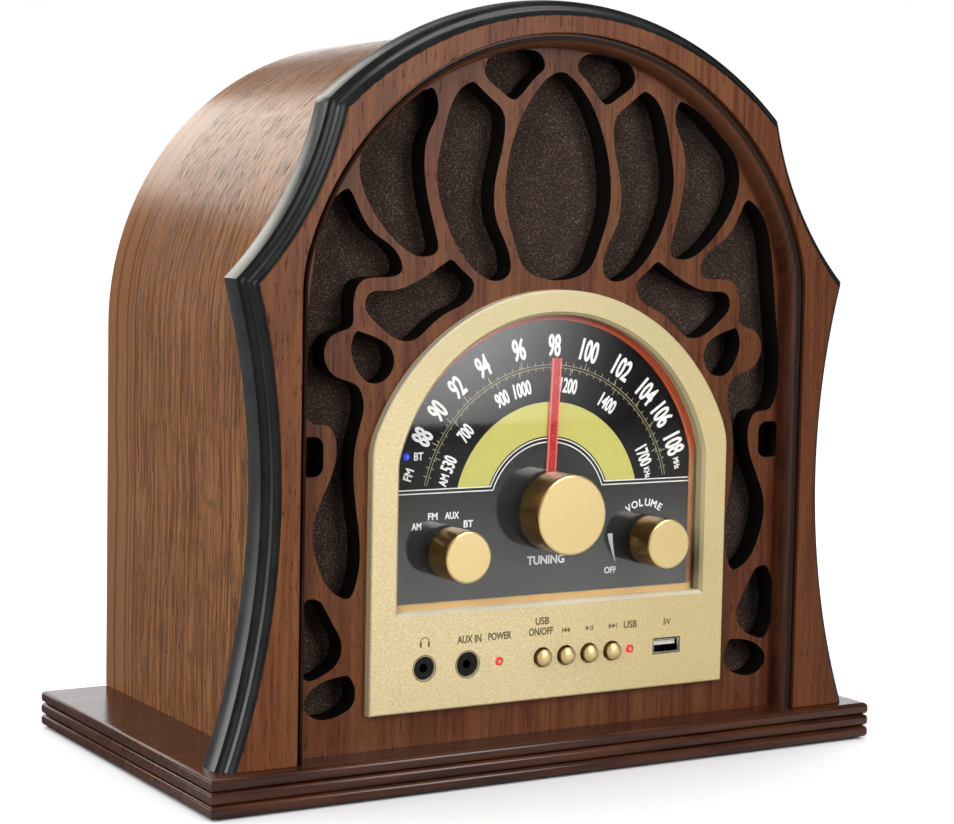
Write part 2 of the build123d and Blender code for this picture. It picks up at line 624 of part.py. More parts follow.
def control_board():
    """Circuit board behind the control row, cut out round the sockets."""
    face = Pos(0, ROW_Z) * Rectangle(150, 27)
    for x in (HEADPHONE_X, AUX_X):
        face -= Pos(x, ROW_Z) * Rectangle(JACK_BODY, JACK_BODY)
    face -= Pos(USB_X, ROW_Z) * Rectangle(USB_WIDTH, USB_HEIGHT)
    board = slab(face, BOARD_FRONT, BOARD_BACK)
    for x in (-22, 8, 30):
        board += block(x - 5, x + 5, BOARD_BACK, BOARD_BACK + 1.5, ROW_Z - 4, ROW_Z + 4)
    board += block(-8, 8, BOARD_BACK, BOARD_BACK + 7, ROW_Z + 6, ROW_Z + 12)
    return board


def jack(x, nose_radius):
    """A 3.5 mm socket: a round nose, a square body and the plug's bore."""
    body = rod(nose_radius, PLATE_FRONT + 0.8, PLATE_BACK, x, ROW_Z)
    half = JACK_BODY / 2
    body += block(x - half, x + half, PLATE_BACK, BOARD_BACK + 1, ROW_Z - half, ROW_Z + half)
    return body - rod(PLUG_RADIUS, PLATE_FRONT - 1, PLATE_FRONT + 14.8, x, ROW_Z)


def domed_led(radius, tip, back, x, z):
    dome = ThreePointArc((0, tip), (radius * 0.7, tip + 0.35 * radius), (radius, tip + radius))
    sides = [(radius, tip + radius), (radius, back), (0, back), (0, tip)]
    face = make_face([dome] + [Line(a, b) for a, b in zip(sides, sides[1:])])
    return Pos(x, 0, z) * revolve(face, Axis.Y)


def red_indicator_leds():
    return Part() + [domed_led(LED_RADIUS, PLATE_FRONT - 0.6, BOARD_FRONT, x, ROW_Z) for x in LED_X]


def bluetooth_led():
    return domed_led(BLUE_LED_RADIUS, DIAL_FRONT - 0.6, CHASSIS_FRONT, BLUE_LED_X, BLUE_LED_Z)


def usb_shell():
    """Folded metal shell of a USB-A socket, closed at the back."""
    outer = Pos(USB_X, ROW_Z) * Rectangle(USB_WIDTH, USB_HEIGHT)
    inner = Pos(USB_X, ROW_Z) * Rectangle(USB_WIDTH - 2 * USB_WALL, USB_HEIGHT - 2 * USB_WALL)
    return slab(outer, PLATE_FRONT + 0.4, -60) - slab(inner, PLATE_FRONT, -61)


def usb_tongue():
    """Plastic tongue that carries the four contacts, on a block that closes the shell."""
    inner = Pos(USB_X, ROW_Z) * Rectangle(USB_WIDTH - 2 * USB_WALL, USB_HEIGHT - 2 * USB_WALL)
    tongue = slab(inner, -65, -61)
    return tongue + block(USB_X - 5.6, USB_X + 5.6, -76, -65, ROW_Z + 0.2, ROW_Z + 2)


# ------------------------------------------------------------------ works on the base and rear panel

def main_board():
    """Main circuit board on its four posts, with its larger components."""
    top = MAIN_BOARD_Z + BOARD_THICKNESS
    board = block(-95, 42, -35, 65, MAIN_BOARD_Z, top)
    for x in (-90, 37):
        for y in (-30, 60):
            board += Pos(x, y, (BASE_TOP + MAIN_BOARD_Z) / 2) * Cylinder(3, MAIN_BOARD_Z - BASE_TOP)
    board += block(-60, -25, -22, -18, top, top + 32)
    for i in range(6):
        board += block(-59 + 6.6 * i, -58 + 6.6 * i, -18, -8, top, top + 32)
    for x, y in ((-5, -10), (18, -10), (18, 15)):
        board += Pos(x, y, top + 12) * Cylinder(8, 24)
    for x, y in ((-75, 10), (-40, 10), (-10, 15)):
        board += block(x - 8, x + 8, y - 6, y + 6, top, top + 2)
    return board


def mains_transformer():
    """Laminated core, a bobbin and two mounting feet."""
    core = block(48, 98, 28, 52, BASE_TOP + 2, BASE_TOP + 44)
    bobbin = block(58, 88, 18, 62, BASE_TOP + 9, BASE_TOP + 37)
    feet = block(44, 102, 34, 46, BASE_TOP, BASE_TOP + 2)
    return core + bobbin + feet


def along_x(radius, x0, x1):
    return Pos((x0 + x1) / 2, FERRITE_Y, FERRITE_Z) * Rot(0, 90, 0) * Cylinder(radius, x1 - x0)


def ferrite_rod():
    return along_x(FERRITE_RADIUS, -85, 35)


def ferrite_coil():
    return along_x(FERRITE_RADIUS + 2, -45, -15) - along_x(FERRITE_RADIUS, -46, -14)


def ferrite_stands():
    """Two plastic stands on the main board."""
    stands = Part()
    for x in (-70, 20):
        stands += block(x - 3, x + 3, 50, 62, MAIN_BOARD_Z + BOARD_THICKNESS, FERRITE_Z + 8)
    return stands - along_x(FERRITE_RADIUS, -90, 40)


def rear_panel():
    """Fibreboard panel with two groups of vents and the hole for the mains inlet."""
    face = round_arch(SHELL_HALF - RABBET_WALL - 0.2)
    for side in (-1, 1):
        for i in range(7):
            face -= Pos(side * 45, 175 + 9 * i) * SlotOverall(56, 3.5)
    face -= Pos(INLET_X, INLET_Z) * Rectangle(22, 16)
    panel = slab(face, PANEL_FRONT, PANEL_BACK)
    for x, z in REAR_SCREWS:
        panel -= rod(SMALL_SCREW, PANEL_FRONT - 1, PANEL_BACK + 1, x, z)
    return panel


def rear_panel_screws():
    return Part() + [cross_head_screw(SMALL_SCREW, 2.6, 1.6, 12, PANEL_BACK, x, z) for x, z in REAR_SCREWS]


def power_inlet():
    """Two-pin figure-of-eight mains inlet."""
    body = slab(Pos(INLET_X, INLET_Z) * Rectangle(22, 16), 66, PANEL_BACK)
    body += slab(Pos(INLET_X, INLET_Z) * RectangleRounded(28, 20, 2), PANEL_BACK, PANEL_BACK + 1.6)
    recess = Pos(INLET_X, INLET_Z) * SlotCenterToCenter(7.2, 7.4)
    body -= slab(recess, PANEL_BACK - 14, PANEL_BACK + 2)
    for dx in (-4.3, 4.3):
        body += rod(1.2, PANEL_BACK - 15, PANEL_BACK - 4, INLET_X + dx, INLET_Z)
    return body


# ------------------------------------------------------------------ the whole radio

nodes = {
    "base_plinth": base_plinth(),
    "rubber_feet": rubber_feet(),
    "glue_blocks": glue_blocks(),
    "base_screws": base_screws(),
    "cabinet_shell": cabinet_shell(),
    "front_frame": front_frame(),
    "edge_moulding": edge_moulding(),
    "arch_bead": arch_bead(),
    "fretwork_panel": fretwork_panel(),
    "grille_cloth": grille_cloth(),
    "speaker_baffle": speaker_baffle(),
    "speaker_dust_caps": speaker_dust_caps(),
    "speaker_screws": speaker_screws(),
    "escutcheon": escutcheon(),
    "escutcheon_screws": escutcheon_screws(),
    "dial_trim": dial_trim(),
    "dial_lens": dial_lens(),
    "dial_plate": dial_plate(),
    "dial_chassis": dial_chassis(),
    "chassis_screws": chassis_screws(),
    "shaft_nuts": shaft_nuts(),
    "tuning_capacitor": tuning_capacitor(),
    "tuning_shaft": tuning_shaft(),
    "tuning_pointer": tuning_pointer(),
    "tuning_knob": knob(TUNING_KNOB_RADIUS, *DIAL_CENTRE),
    "selector_switch": selector_switch(),
    "selector_shaft": selector_shaft(),
    "selector_knob": knob(SIDE_KNOB_RADIUS, -SIDE_KNOB_X, SIDE_KNOB_Z),
    "volume_control": volume_control(),
    "volume_shaft": volume_shaft(),
    "volume_knob": knob(SIDE_KNOB_RADIUS, SIDE_KNOB_X, SIDE_KNOB_Z),
    "control_board": control_board(),
    "tact_switches": tact_switches(),
    "headphone_jack": jack(HEADPHONE_X, 4.4),
    "aux_jack": jack(AUX_X, 4.7),
    "red_indicator_leds": red_indicator_leds(),
    "bluetooth_led": bluetooth_led(),
    "usb_shell": usb_shell(),
    "usb_tongue": usb_tongue(),
    "main_board": main_board(),
    "mains_transformer": mains_transformer(),
    "ferrite_rod": ferrite_rod(),
    "ferrite_coil": ferrite_coil(),
    "ferrite_stands": ferrite_stands(),
    "rear_panel": rear_panel(),
    "rear_panel_screws": rear_panel_screws(),
    "power_inlet": power_inlet(),
}
for name, side in (("left", -1), ("right", 1)):
    nodes[f"speaker_basket_{name}"] = speaker_basket(side)
    nodes[f"speaker_surround_{name}"] = speaker_surround(side)
    nodes[f"speaker_cone_{name}"] = speaker_cone(side)
    nodes[f"speaker_magnet_{name}"] = speaker_magnet(side)
for name, x in zip(("usb_power", "previous", "play", "next"), BUTTON_X):
    nodes[f"button_{name}"] = push_button(x)

os.makedirs("parts", exist_ok=True)
for name, shape in nodes.items():
    export_step(shape, f"parts/{name}.step")
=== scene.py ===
from cmath import phase
from math import atan, cos, degrees, hypot, pi, radians, sin, sqrt

import bmesh
import bpy
from mathutils import Matrix, Vector
from mathutils.geometry import delaunay_2d_cdt, interpolate_bezier


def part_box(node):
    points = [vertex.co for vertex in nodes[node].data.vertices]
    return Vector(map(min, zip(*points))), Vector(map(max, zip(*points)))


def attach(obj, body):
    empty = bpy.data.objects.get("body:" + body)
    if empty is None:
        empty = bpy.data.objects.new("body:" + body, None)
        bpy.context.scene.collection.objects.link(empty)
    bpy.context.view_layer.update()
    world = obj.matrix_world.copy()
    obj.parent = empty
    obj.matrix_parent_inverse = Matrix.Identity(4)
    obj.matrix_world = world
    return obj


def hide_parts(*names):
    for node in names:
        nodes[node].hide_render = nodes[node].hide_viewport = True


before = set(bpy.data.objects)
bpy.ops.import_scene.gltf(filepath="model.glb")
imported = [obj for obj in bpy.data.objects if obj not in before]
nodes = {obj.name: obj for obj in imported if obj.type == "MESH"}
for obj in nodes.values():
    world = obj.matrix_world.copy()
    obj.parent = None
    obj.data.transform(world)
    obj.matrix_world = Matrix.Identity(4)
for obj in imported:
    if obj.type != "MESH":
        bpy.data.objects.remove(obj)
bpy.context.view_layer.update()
scene = bpy.context.scene
MM = 0.001


def low(node):
    """A node's lowest corner, in millimetres."""
    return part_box(node)[0] / MM


def high(node):
    """A node's highest corner, in millimetres."""
    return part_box(node)[1] / MM


def middle(node):
    """The middle of a node's box, in millimetres."""
    return (low(node) + high(node)) / 2


def linked(name, data):
    """A new object in the scene."""
    made = bpy.data.objects.new(name, data)
    scene.collection.objects.link(made)
    return made


# ---- places read from the frame, in millimetres

PLATE_FACE = low("escutcheon").y
DIAL_FACE = low("dial_plate").y
CLOTH_FACE = low("grille_cloth").y
BASE_TOP = high("base_plinth").z
SHELL_RADIUS = high("cabinet_shell").x
ARCH_CENTRE = high("cabinet_shell").z - SHELL_RADIUS
SHELL_BACK = high("cabinet_shell").y
DIAL = (0.0, middle("tuning_knob").z)
VOLUME = (middle("volume_knob").x, middle("volume_knob").z)
ROW_Z = middle("button_play").z
TRIM_WIDTH, LED_RADIUS = 2.3, 1.9
WINDOW_EDGE = high("dial_trim").x - TRIM_WIDTH


# ---- node graphs


def linear(red, green, blue):
    """A display colour, 0 to 255 a channel, as the linear colour that shaders take."""
    def channel(value):
        value /= 255
        return value / 12.92 if value <= 0.04045 else ((value + 0.055) / 1.055) ** 2.4
    return (channel(red), channel(green), channel(blue), 1.0)


class Graph:
    """A material, or the world, under construction. Positions are in millimetres, in the frame of the CAD."""

    def __init__(self, name, kind="materials", output="ShaderNodeOutputMaterial"):
        self.made = getattr(bpy.data, kind).new(name)
        self.made.use_nodes = True
        self.tree = self.made.node_tree
        self.tree.nodes.clear()
        self.output = self.tree.nodes.new(output)

    def node(self, kind, inputs=None, **settings):
        made = self.tree.nodes.new(kind)
        for key, value in settings.items():
            setattr(made, key, value)
        for key, value in (inputs or {}).items():
            if isinstance(value, bpy.types.NodeSocket):
                self.tree.links.new(value, made.inputs[key])
            elif value is not None:
                made.inputs[key].default_value = value
        return made

    def math(self, operation, a, b=None):
        return self.node("ShaderNodeMath", {0: a, 1: b}, operation=operation).outputs[0]

    def plus(self, a, b):
        return self.math("ADD", a, b)

    def minus(self, a, b):
        return self.math("SUBTRACT", a, b)

    def times(self, a, b):
        return self.math("MULTIPLY", a, b)

    def size(self, a):
        return self.math("ABSOLUTE", a)

    def reach(self, x, z, centre):
        """How far a place in the front view is from a centre."""
        squares = [self.math("POWER", self.minus(value, level), 2.0) for value, level in zip((x, z), centre)]
        return self.math("SQRT", self.plus(*squares))

    def position(self):
        """Object coordinates in millimetres, as a vector and as its x, y and z."""
        place = self.node("ShaderNodeTexCoord").outputs["Object"]
        scaled = self.node("ShaderNodeVectorMath", {0: place, "Scale": 1 / MM}, operation="SCALE").outputs[0]
        return scaled, self.node("ShaderNodeSeparateXYZ", {0: scaled}).outputs

    def facing(self):
        """The surface normal's x, y and z."""
        normal = self.node("ShaderNodeTexCoord").outputs["Normal"]
        return self.node("ShaderNodeSeparateXYZ", {0: normal}).outputs

    def vector(self, x, y, z=0.0):
        return self.node("ShaderNodeCombineXYZ", {0: x, 1: y, 2: z}).outputs[0]

    def stretch(self, axes, factors, *rest):
        """A vector of coordinates, each scaled by its own factor, and of the plain rest."""
        return self.vector(*(self.times(axis, factor) for axis, factor in zip(axes, factors)), *rest)

    def noise(self, vector, scale=1.0, detail=2.0, roughness=0.5):
        inputs = {"Vector": vector, "Scale": scale, "Detail": detail, "Roughness": roughness}
        return self.node("ShaderNodeTexNoise", inputs).outputs["Fac"]

    def cells(self, vector, scale):
        """A random grey value for each cell of an uneven mosaic."""
        made = self.node("ShaderNodeTexVoronoi", {"Vector": vector, "Scale": scale})
        return self.node("ShaderNodeSeparateColor", {0: made.outputs["Color"]}).outputs[0]

    def ramp(self, value, start, end, low_value=0.0, high_value=1.0):
        """A smooth step of a value from one level to another."""
        inputs = {"Value": value, "From Min": start, "From Max": end, "To Min": low_value, "To Max": high_value}
        return self.node("ShaderNodeMapRange", inputs, interpolation_type="SMOOTHSTEP").outputs["Result"]

    def spread(self, noise, low_value=0.0, high_value=1.0):
        """A noise, which keeps near its middle, spread between two values."""
        return self.ramp(noise, 0.3, 0.7, low_value, high_value)

    def mix(self, factor, a, b):
        """A blend of two colours. A colour is a socket, a linear colour or three display levels, 0 to 255."""
        a, b = (linear(*c) if isinstance(c, tuple) and len(c) == 3 else c for c in (a, b))
        return self.node("ShaderNodeMix", {0: factor, 6: a, 7: b}, data_type="RGBA").outputs[2]

    def line(self, value, centre, width):
        """1 on a thin line where a value passes a level, fading to 0 within the width."""
        return self.ramp(self.size(self.minus(value, centre)), 0.0, width, 1.0, 0.0)

    def show(self, shader):
        self.tree.links.new(shader.outputs[0], self.output.inputs["Surface"])
        return self.made

    def surface(self, colour, bump=None, **inputs):
        """The Principled shader. A bump is a height from 0 to 1, its depth in millimetres and its strength."""
        named = {key.replace("_", " "): value for key, value in inputs.items()}
        if bump:
            height, depth, strength = bump
            named["Normal"] = self.node("ShaderNodeBump", {"Height": height, "Distance": depth * MM,
                                                           "Strength": strength}).outputs[0]
        return self.show(self.node("ShaderNodeBsdfPrincipled", {"Base Color": colour, **named}))


def begin(name):
    """A new material's graph, with its position as a vector and as x, y and z."""
    g = Graph(name)
    return g, *g.position()


# ---- woods


def grain(g, across, along, seed, streak, pore):
    """Fine streaks, dark pores and slow tone of a board, from millimetres across and along its grain."""
    layers = ((0.05, 0.009, 0, 3.0, 0.5), (0.9 * streak, 0.016, 0, 4.0, 0.62), (2.4 * streak, 0.05, 3, 3.0, 0.6),
              (2.0 * pore, 0.11, 7, 2.0, 0.7))
    return [g.noise(g.stretch((across, along), (fine, long), seed + shift), 1.0, detail, rough)
            for fine, long, shift, detail, rough in layers]


def veneer():
    """Warm brown veneer bent over the cabinet: its grain follows the arch, with a wavy figure at the rear."""
    g, _, (x, y, z) = begin("veneer")
    above, below = (g.math("MAXIMUM", height, 0.0) for height in (g.minus(z, ARCH_CENTRE), g.minus(ARCH_CENTRE, z)))
    round_top = g.times(g.math("ARCTAN2", above, x), SHELL_RADIUS)
    along = g.minus(round_top, g.times(g.math("SIGN", x), below))
    sway = g.times(g.minus(g.noise(g.vector(g.times(along, 0.012), 0.0)), 0.5), 9.0)
    across = g.plus(y, sway)
    tone, streaks, fibres, pores = grain(g, across, along, 1.0, 0.55, 0.5)
    plain = g.ramp(y, SHELL_BACK - 36, SHELL_BACK - 24)
    colour = g.mix(g.ramp(streaks, 0.38, 0.62), (108, 66, 37), (164, 111, 67))
    colour = g.mix(g.times(plain, 0.9), colour, (150, 103, 65))
    colour = g.mix(g.ramp(tone, 0.40, 0.66, 0.0, 0.30), colour, (140, 88, 50))
    lines = g.times(g.ramp(fibres, 0.52, 0.64), g.ramp(plain, 0.0, 1.0, 0.75, 0.15))
    colour = g.mix(lines, colour, (92, 56, 34))
    figure = None
    for offset, width, weight in ((-31.0, 1.4, 0.8), (-26.5, 1.0, 0.6), (-22.5, 1.6, 0.75), (-10.5, 2.0, 0.7)):
        mark = g.times(g.line(across, SHELL_BACK + offset, width), weight)
        figure = mark if figure is None else g.math("MAXIMUM", figure, mark)
    colour = g.mix(figure, colour, (84, 50, 30))
    open_pores = g.times(g.ramp(pores, 0.56, 0.66), g.ramp(plain, 0.0, 1.0, 1.0, 0.12))
    colour = g.mix(g.times(open_pores, 0.85), colour, (54, 32, 20))
    rough = g.plus(g.spread(streaks, 0.17, 0.23), g.times(open_pores, 0.3))
    height = g.minus(g.times(streaks, 0.5), g.math("MAXIMUM", open_pores, lines))
    return g.surface(colour, Roughness=rough, Specular_IOR_Level=0.22, bump=(height, 0.06, 0.7))


def facia_wood(name, seed, light, dark, sides=None):
    """Reddish-brown board with upright grain and short dark flecks. Sides, if given, is the colour of its cut edges."""
    g, _, (x, y, z) = begin(name)
    across = g.plus(x, g.times(y, 0.7))
    tone, streaks, fibres, pores = grain(g, across, z, seed, 0.55, 0.42)
    bands = g.noise(g.stretch((across, z), (0.09, 0.006), seed), 1.0, 2.0)
    colour = g.mix(g.ramp(streaks, 0.34, 0.66), dark, light)
    colour = g.mix(g.ramp(tone, 0.35, 0.65, 0.0, 0.45), colour, (112, 56, 32))
    colour = g.mix(g.ramp(bands, 0.42, 0.62, 0.0, 0.35), colour, (146, 94, 56))
    colour = g.mix(g.ramp(fibres, 0.52, 0.70, 0.0, 0.40), colour, (72, 36, 22))
    # Painted shade: the board darkens towards its right-hand side.
    colour = g.mix(g.ramp(x, 50.0, 140.0, 0.0, 0.45), colour, (84, 40, 24))
    flecks = g.ramp(pores, 0.59, 0.68)
    colour = g.mix(g.times(flecks, 0.65), colour, (42, 20, 13))
    rough = g.plus(g.spread(streaks, 0.26, 0.34), g.times(flecks, 0.2))
    if sides is not None:
        front = g.ramp(g.size(g.facing()[1]), 0.45, 0.75)
        colour = g.mix(front, sides, colour)
        rough = g.plus(rough, g.times(g.minus(1.0, front), 0.3))
    height = g.minus(g.times(streaks, 0.35), flecks)
    return g.surface(colour, Roughness=rough, Specular_IOR_Level=0.16, bump=(height, 0.05, 0.6))


def bead_wood():
    """Dark chocolate lacquer, with painted shade in the groove along its front edge and a painted highlight towards the
    top of the arch.
    """
    g, _, (x, y, z) = begin("bead_wood")
    streaks = g.noise(g.stretch((x, z), (0.8, 0.03), 5.0), 1.0, 3.0)
    colour = g.mix(g.ramp(streaks, 0.35, 0.65), (54, 27, 17), (82, 44, 28))
    # Painted shade: the front of the bead, the groove beside the frame, is darkened nearly to black.
    groove_shade = g.ramp(y, low("arch_bead").y + 1.0, low("arch_bead").y + 1.7, 1.0, 0.0)
    # Painted highlight: the bead is lighter towards the top of the arch.
    colour = g.mix(g.ramp(z, 200.0, 275.0, 0.0, 0.6), colour, (140, 88, 58))
    colour = g.mix(g.times(groove_shade, 0.85), colour, (14, 7, 5))
    return g.surface(colour, Roughness=g.spread(streaks, 0.28, 0.36), Specular_IOR_Level=0.25,
                     bump=(streaks, 0.03, 0.4))


def base_wood():
    """Dark brown stained board, its grain along its length, a little rubbed here and there."""
    g, position, axes = begin("base_wood")
    streaks = g.noise(g.stretch(axes, (0.022, 0.45, 0.3)), 1.0, 4.0, 0.6)
    pores = g.noise(g.stretch(axes, (0.09, 1.1, 0.4)), 1.0, 2.0, 0.6)
    wear = g.noise(position, 0.3, 4.0, 0.7)
    colour = g.mix(g.ramp(streaks, 0.36, 0.66), (56, 27, 15), (86, 46, 26))
    upward = g.ramp(g.facing()[2], 0.93, 0.99)
    dark = g.times(g.ramp(pores, 0.60, 0.70), upward)
    colour = g.mix(g.times(dark, 0.5), colour, (40, 22, 14))
    colour = g.mix(g.ramp(wear, 0.62, 0.80, 0.0, 0.30), colour, (118, 76, 52))
    height = g.times(g.minus(g.times(streaks, 0.8), dark), upward)
    return g.surface(colour, Roughness=g.spread(streaks, 0.17, 0.23), Specular_IOR_Level=0.45,
                     bump=(height, 0.06, 0.6))


def plain_wood(name, light, dark, rough):
    """Bare or hardboard-like wood of the hidden and rear parts."""
    g, _, axes = begin(name)
    fibres = g.noise(g.stretch(axes, (0.9, 0.9, 0.5)), 1.0, 5.0, 0.7)
    return g.surface(g.mix(g.spread(fibres), dark, light),
                     Roughness=g.spread(fibres, rough - 0.08, rough + 0.08), bump=(fibres, 0.08, 0.5))


# ---- metals, plastics and glass


def gold_paint():
    """Gold metallic paint with a fine sparkling grain, with painted shade towards its right, its top and on faces that
    look to the left, and a painted highlight on faces that look up.
    """
    g, position, (x, _, z) = begin("gold_paint")
    sparkle = g.cells(position, 3.0)
    cloud = g.noise(position, 1.1, 4.0, 0.7)
    colour = g.mix(g.ramp(sparkle, 0.10, 0.95), (236, 210, 152), (255, 242, 198))
    colour = g.mix(g.ramp(cloud, 0.45, 0.75, 0.0, 0.35), colour, (226, 198, 142))
    # Painted shade: the plate is darker towards its right and towards its top.
    colour = g.mix(g.ramp(x, -30.0, 70.0, 0.0, 0.5), colour, (211, 191, 125))
    colour = g.mix(g.ramp(z, 130.0, 190.0, 0.0, 0.5), colour, (203, 193, 149))
    # Painted highlight: faces that look up turn pale cream.
    colour = g.mix(g.ramp(g.facing()[2], 0.3, 0.6), colour, (255, 246, 218))
    # Painted shade: faces that look to the left are dulled towards grey-olive.
    colour = g.mix(g.ramp(g.facing()[0], -0.6, -0.3, 0.5, 0.0), colour, (150, 152, 128))
    height = g.plus(sparkle, g.times(cloud, 0.6))
    return g.surface(colour, Metallic=0.35, Roughness=g.ramp(sparkle, 0.0, 1.0, 0.38, 0.56),
                     bump=(height, 0.06, 0.6))


def gold_metal(name, face, side):
    """Gold anodised aluminium: how rough its face is and how rough its turned side is."""
    g, position, (_, y, _) = begin(name)
    turning = g.noise(g.vector(0.0, g.times(y, 6.0)), 1.0, 3.0)
    grit = g.noise(position, 6.0, 2.0)
    colour = g.mix(g.spread(turning), (236, 210, 150), (242, 217, 158))
    front = g.ramp(g.size(g.facing()[1]), 0.5, 0.95)
    # Painted shade: the turned sides are a darker gold than the face.
    colour = g.mix(front, (160, 122, 68), colour)
    polish = g.plus(g.times(front, face - side), side)
    seen = g.node("ShaderNodeLightPath").outputs
    # Painted shadow: where a reflection sees the turned sides, they are near black, which darkens their mirror image in
    # the dial's window.
    colour = g.mix(g.times(seen["Is Glossy Ray"], g.minus(1.0, front)), colour, (52, 38, 22))
    rough = g.math("MAXIMUM", g.plus(polish, g.spread(grit, -0.03, 0.03)), g.times(seen["Is Diffuse Ray"], 0.9))
    return g.surface(colour, Metallic=0.94, Roughness=rough, bump=(grit, 0.01, 0.4))


def copper_paint():
    """Copper-coloured paint of the ring round the dial, redder towards its top, with a painted highlight along its foot
    and painted shading along the outer edge of its sides.
    """
    g, position, (x, y, z) = begin("copper_paint")
    cloud = g.noise(g.vector(g.times(x, 0.03), y, g.times(z, 0.03)), 1.0, 2.0)
    colour = g.mix(g.ramp(cloud, 0.35, 0.65), (232, 150, 92), (240, 168, 108))
    colour = g.mix(g.ramp(z, 118.0, 136.0), colour, (252, 132, 82))
    # Painted highlight: a pale cream strip along the foot of the ring.
    colour = g.mix(g.ramp(z, 72.4, 73.0, 1.0, 0.0), colour, (255, 224, 150))
    # Painted shading: below the shoulder, the outer edge of each side takes the grey-gold look of the gold reveal
    # beside it.
    rim = g.times(g.ramp(g.size(x), WINDOW_EDGE + 1.3, WINDOW_EDGE + 1.5), g.ramp(z, 150.0, 160.0, 1.0, 0.0))
    colour = g.mix(rim, colour, (176, 172, 140))
    return g.surface(colour, Metallic=0.15, Roughness=g.spread(cloud, 0.28, 0.36),
                     bump=(g.noise(position, 1.5), 0.01, 0.3))


def black_lacquer():
    """Semi-gloss black paint over the moulding."""
    g, position, _ = begin("black_lacquer")
    cloud = g.noise(position, 0.08, 3.0, 0.6)
    fine = g.noise(position, 1.2, 3.0, 0.6)
    colour = g.mix(g.ramp(cloud, 0.35, 0.7), (18, 20, 19), (28, 32, 30))
    gloss = g.ramp(g.size(g.facing()[1]), 0.15, 0.5, 1.0, 0.22)
    return g.surface(colour, Roughness=g.spread(cloud, 0.27, 0.33), Specular_IOR_Level=gloss,
                     bump=(fine, 0.012, 0.4))


def plastic(name, light, dark, rough, **more):
    """Moulded plastic, rubber or paper: a slight mottle and a fine surface texture."""
    g, position, _ = begin(name)
    mottle = g.noise(position, 0.5, 3.0)
    fine = g.noise(position, 3.5, 2.0)
    return g.surface(g.mix(g.spread(mottle), dark, light), Roughness=g.spread(mottle, rough - 0.05, rough + 0.05),
                     bump=(fine, 0.02, 0.4), **more)


def steel(name, light, dark, rough, stretch=(0.3, 6.0, 0.3)):
    """Brushed, plated or cast metal; the stretch is how fine its grain is along each axis."""
    g, _, axes = begin(name)
    brushed = g.noise(g.stretch(axes, stretch), 1.0, 4.0, 0.6)
    return g.surface(g.mix(g.spread(brushed), dark, light), Metallic=1.0,
                     Roughness=g.spread(brushed, rough - 0.08, rough + 0.08), bump=(brushed, 0.02, 0.4))


def socket_steel():
    """Plated folded steel, bright at the mouth of the socket, with painted shade darkening it inside."""
    g, _, (x, y, z) = begin("socket_steel")
    brushed = g.noise(g.vector(g.times(x, 0.3), y, z), 1.0, 3.0)
    mouth = low("usb_shell").y
    colour = g.mix(g.spread(brushed), (214, 210, 204), (238, 234, 228))
    # Painted shade: the steel darkens deeper inside the socket.
    colour = g.mix(g.ramp(y, mouth + 0.3, mouth + 1.2), colour, (52, 47, 48))
    return g.surface(colour, Metallic=1.0, Roughness=g.spread(brushed, 0.2, 0.3), bump=(brushed, 0.01, 0.4))


def circuit_board():
    """Green solder mask with paler tracks; anything that stands off the board is black."""
    g, position, _ = begin("circuit_board")
    tracks = g.node("ShaderNodeTexBrick", {"Vector": position, "Color1": (1, 1, 1, 1), "Color2": (1, 1, 1, 1),
                                           "Mortar": (0, 0, 0, 1), "Scale": 0.12, "Mortar Size": 0.03}).outputs["Fac"]
    mottle = g.noise(position, 0.6, 3.0)
    colour = g.mix(g.times(tracks, 0.7), (24, 84, 44), (58, 128, 70))
    colour = g.mix(g.ramp(mottle, 0.4, 0.8, 0.0, 0.3), colour, (16, 60, 32))
    return g.surface(colour, Roughness=g.spread(mottle, 0.3, 0.42), bump=(tracks, 0.03, 0.4))


def dial_print():
    """The dial's ground: black above the dividing line, charcoal below it and round the tuning knob."""
    g, position, (x, _, z) = begin("dial_print")
    inside = g.math("LESS_THAN", g.reach(x, z, DIAL), DIVIDER_RADIUS)
    field = g.math("MAXIMUM", g.math("LESS_THAN", z, DIVIDER_Z), inside)
    grit = g.noise(position, 2.2, 3.0)
    colour = g.mix(field, (6, 6, 6), g.mix(g.spread(grit), (44, 45, 43), (50, 51, 49)))
    return g.surface(colour, Roughness=g.spread(grit, 0.5, 0.65), Specular_IOR_Level=0.08)


def ink(name, colour, worn=None):
    """Screen-printed ink, a little uneven."""
    g, position, _ = begin(name)
    uneven = g.noise(position, 1.8, 3.0)
    return g.surface(g.mix(g.ramp(uneven, 0.45, 0.75, 0.0, 0.5), colour, worn or colour),
                     Roughness=g.spread(uneven, 0.4, 0.55))


def pointer_red():
    """Red pointer; its paler edges are painted light standing for translucent plastic, and it has a faint painted glow.
    """
    g, position, (x, _, z) = begin("pointer_red")
    lean = radians(2.2)
    offset = g.minus(g.times(x, cos(lean)), g.times(g.minus(z, DIAL[1]), sin(lean)))
    # Painted light: the pointer's edges are paler, as light shows at the edges of translucent plastic.
    edge = g.ramp(g.size(offset), 1.45, 1.75)
    colour = g.mix(edge, (176, 16, 20), (222, 112, 104))
    # Painted glow: a faint red emission, though the pointer is no lamp.
    return g.surface(colour, Roughness=g.spread(g.noise(position, 1.0), 0.2, 0.3),
                     Emission_Color=linear(206, 30, 30), Emission_Strength=0.05)


def clear_glass():
    """Clear window: lamps shine straight through it, and eyes see its gloss."""
    g = Graph("clear_glass")
    glass = g.node("ShaderNodeBsdfPrincipled", {"Base Color": (1, 1, 1, 1), "Roughness": 0.03, "IOR": 1.65,
                                                "Transmission Weight": 1.0})
    clear = g.node("ShaderNodeBsdfTransparent")
    shadow = g.node("ShaderNodeLightPath").outputs["Is Shadow Ray"]
    return g.show(g.node("ShaderNodeMixShader", {0: shadow, 1: glass.outputs[0], 2: clear.outputs[0]}))


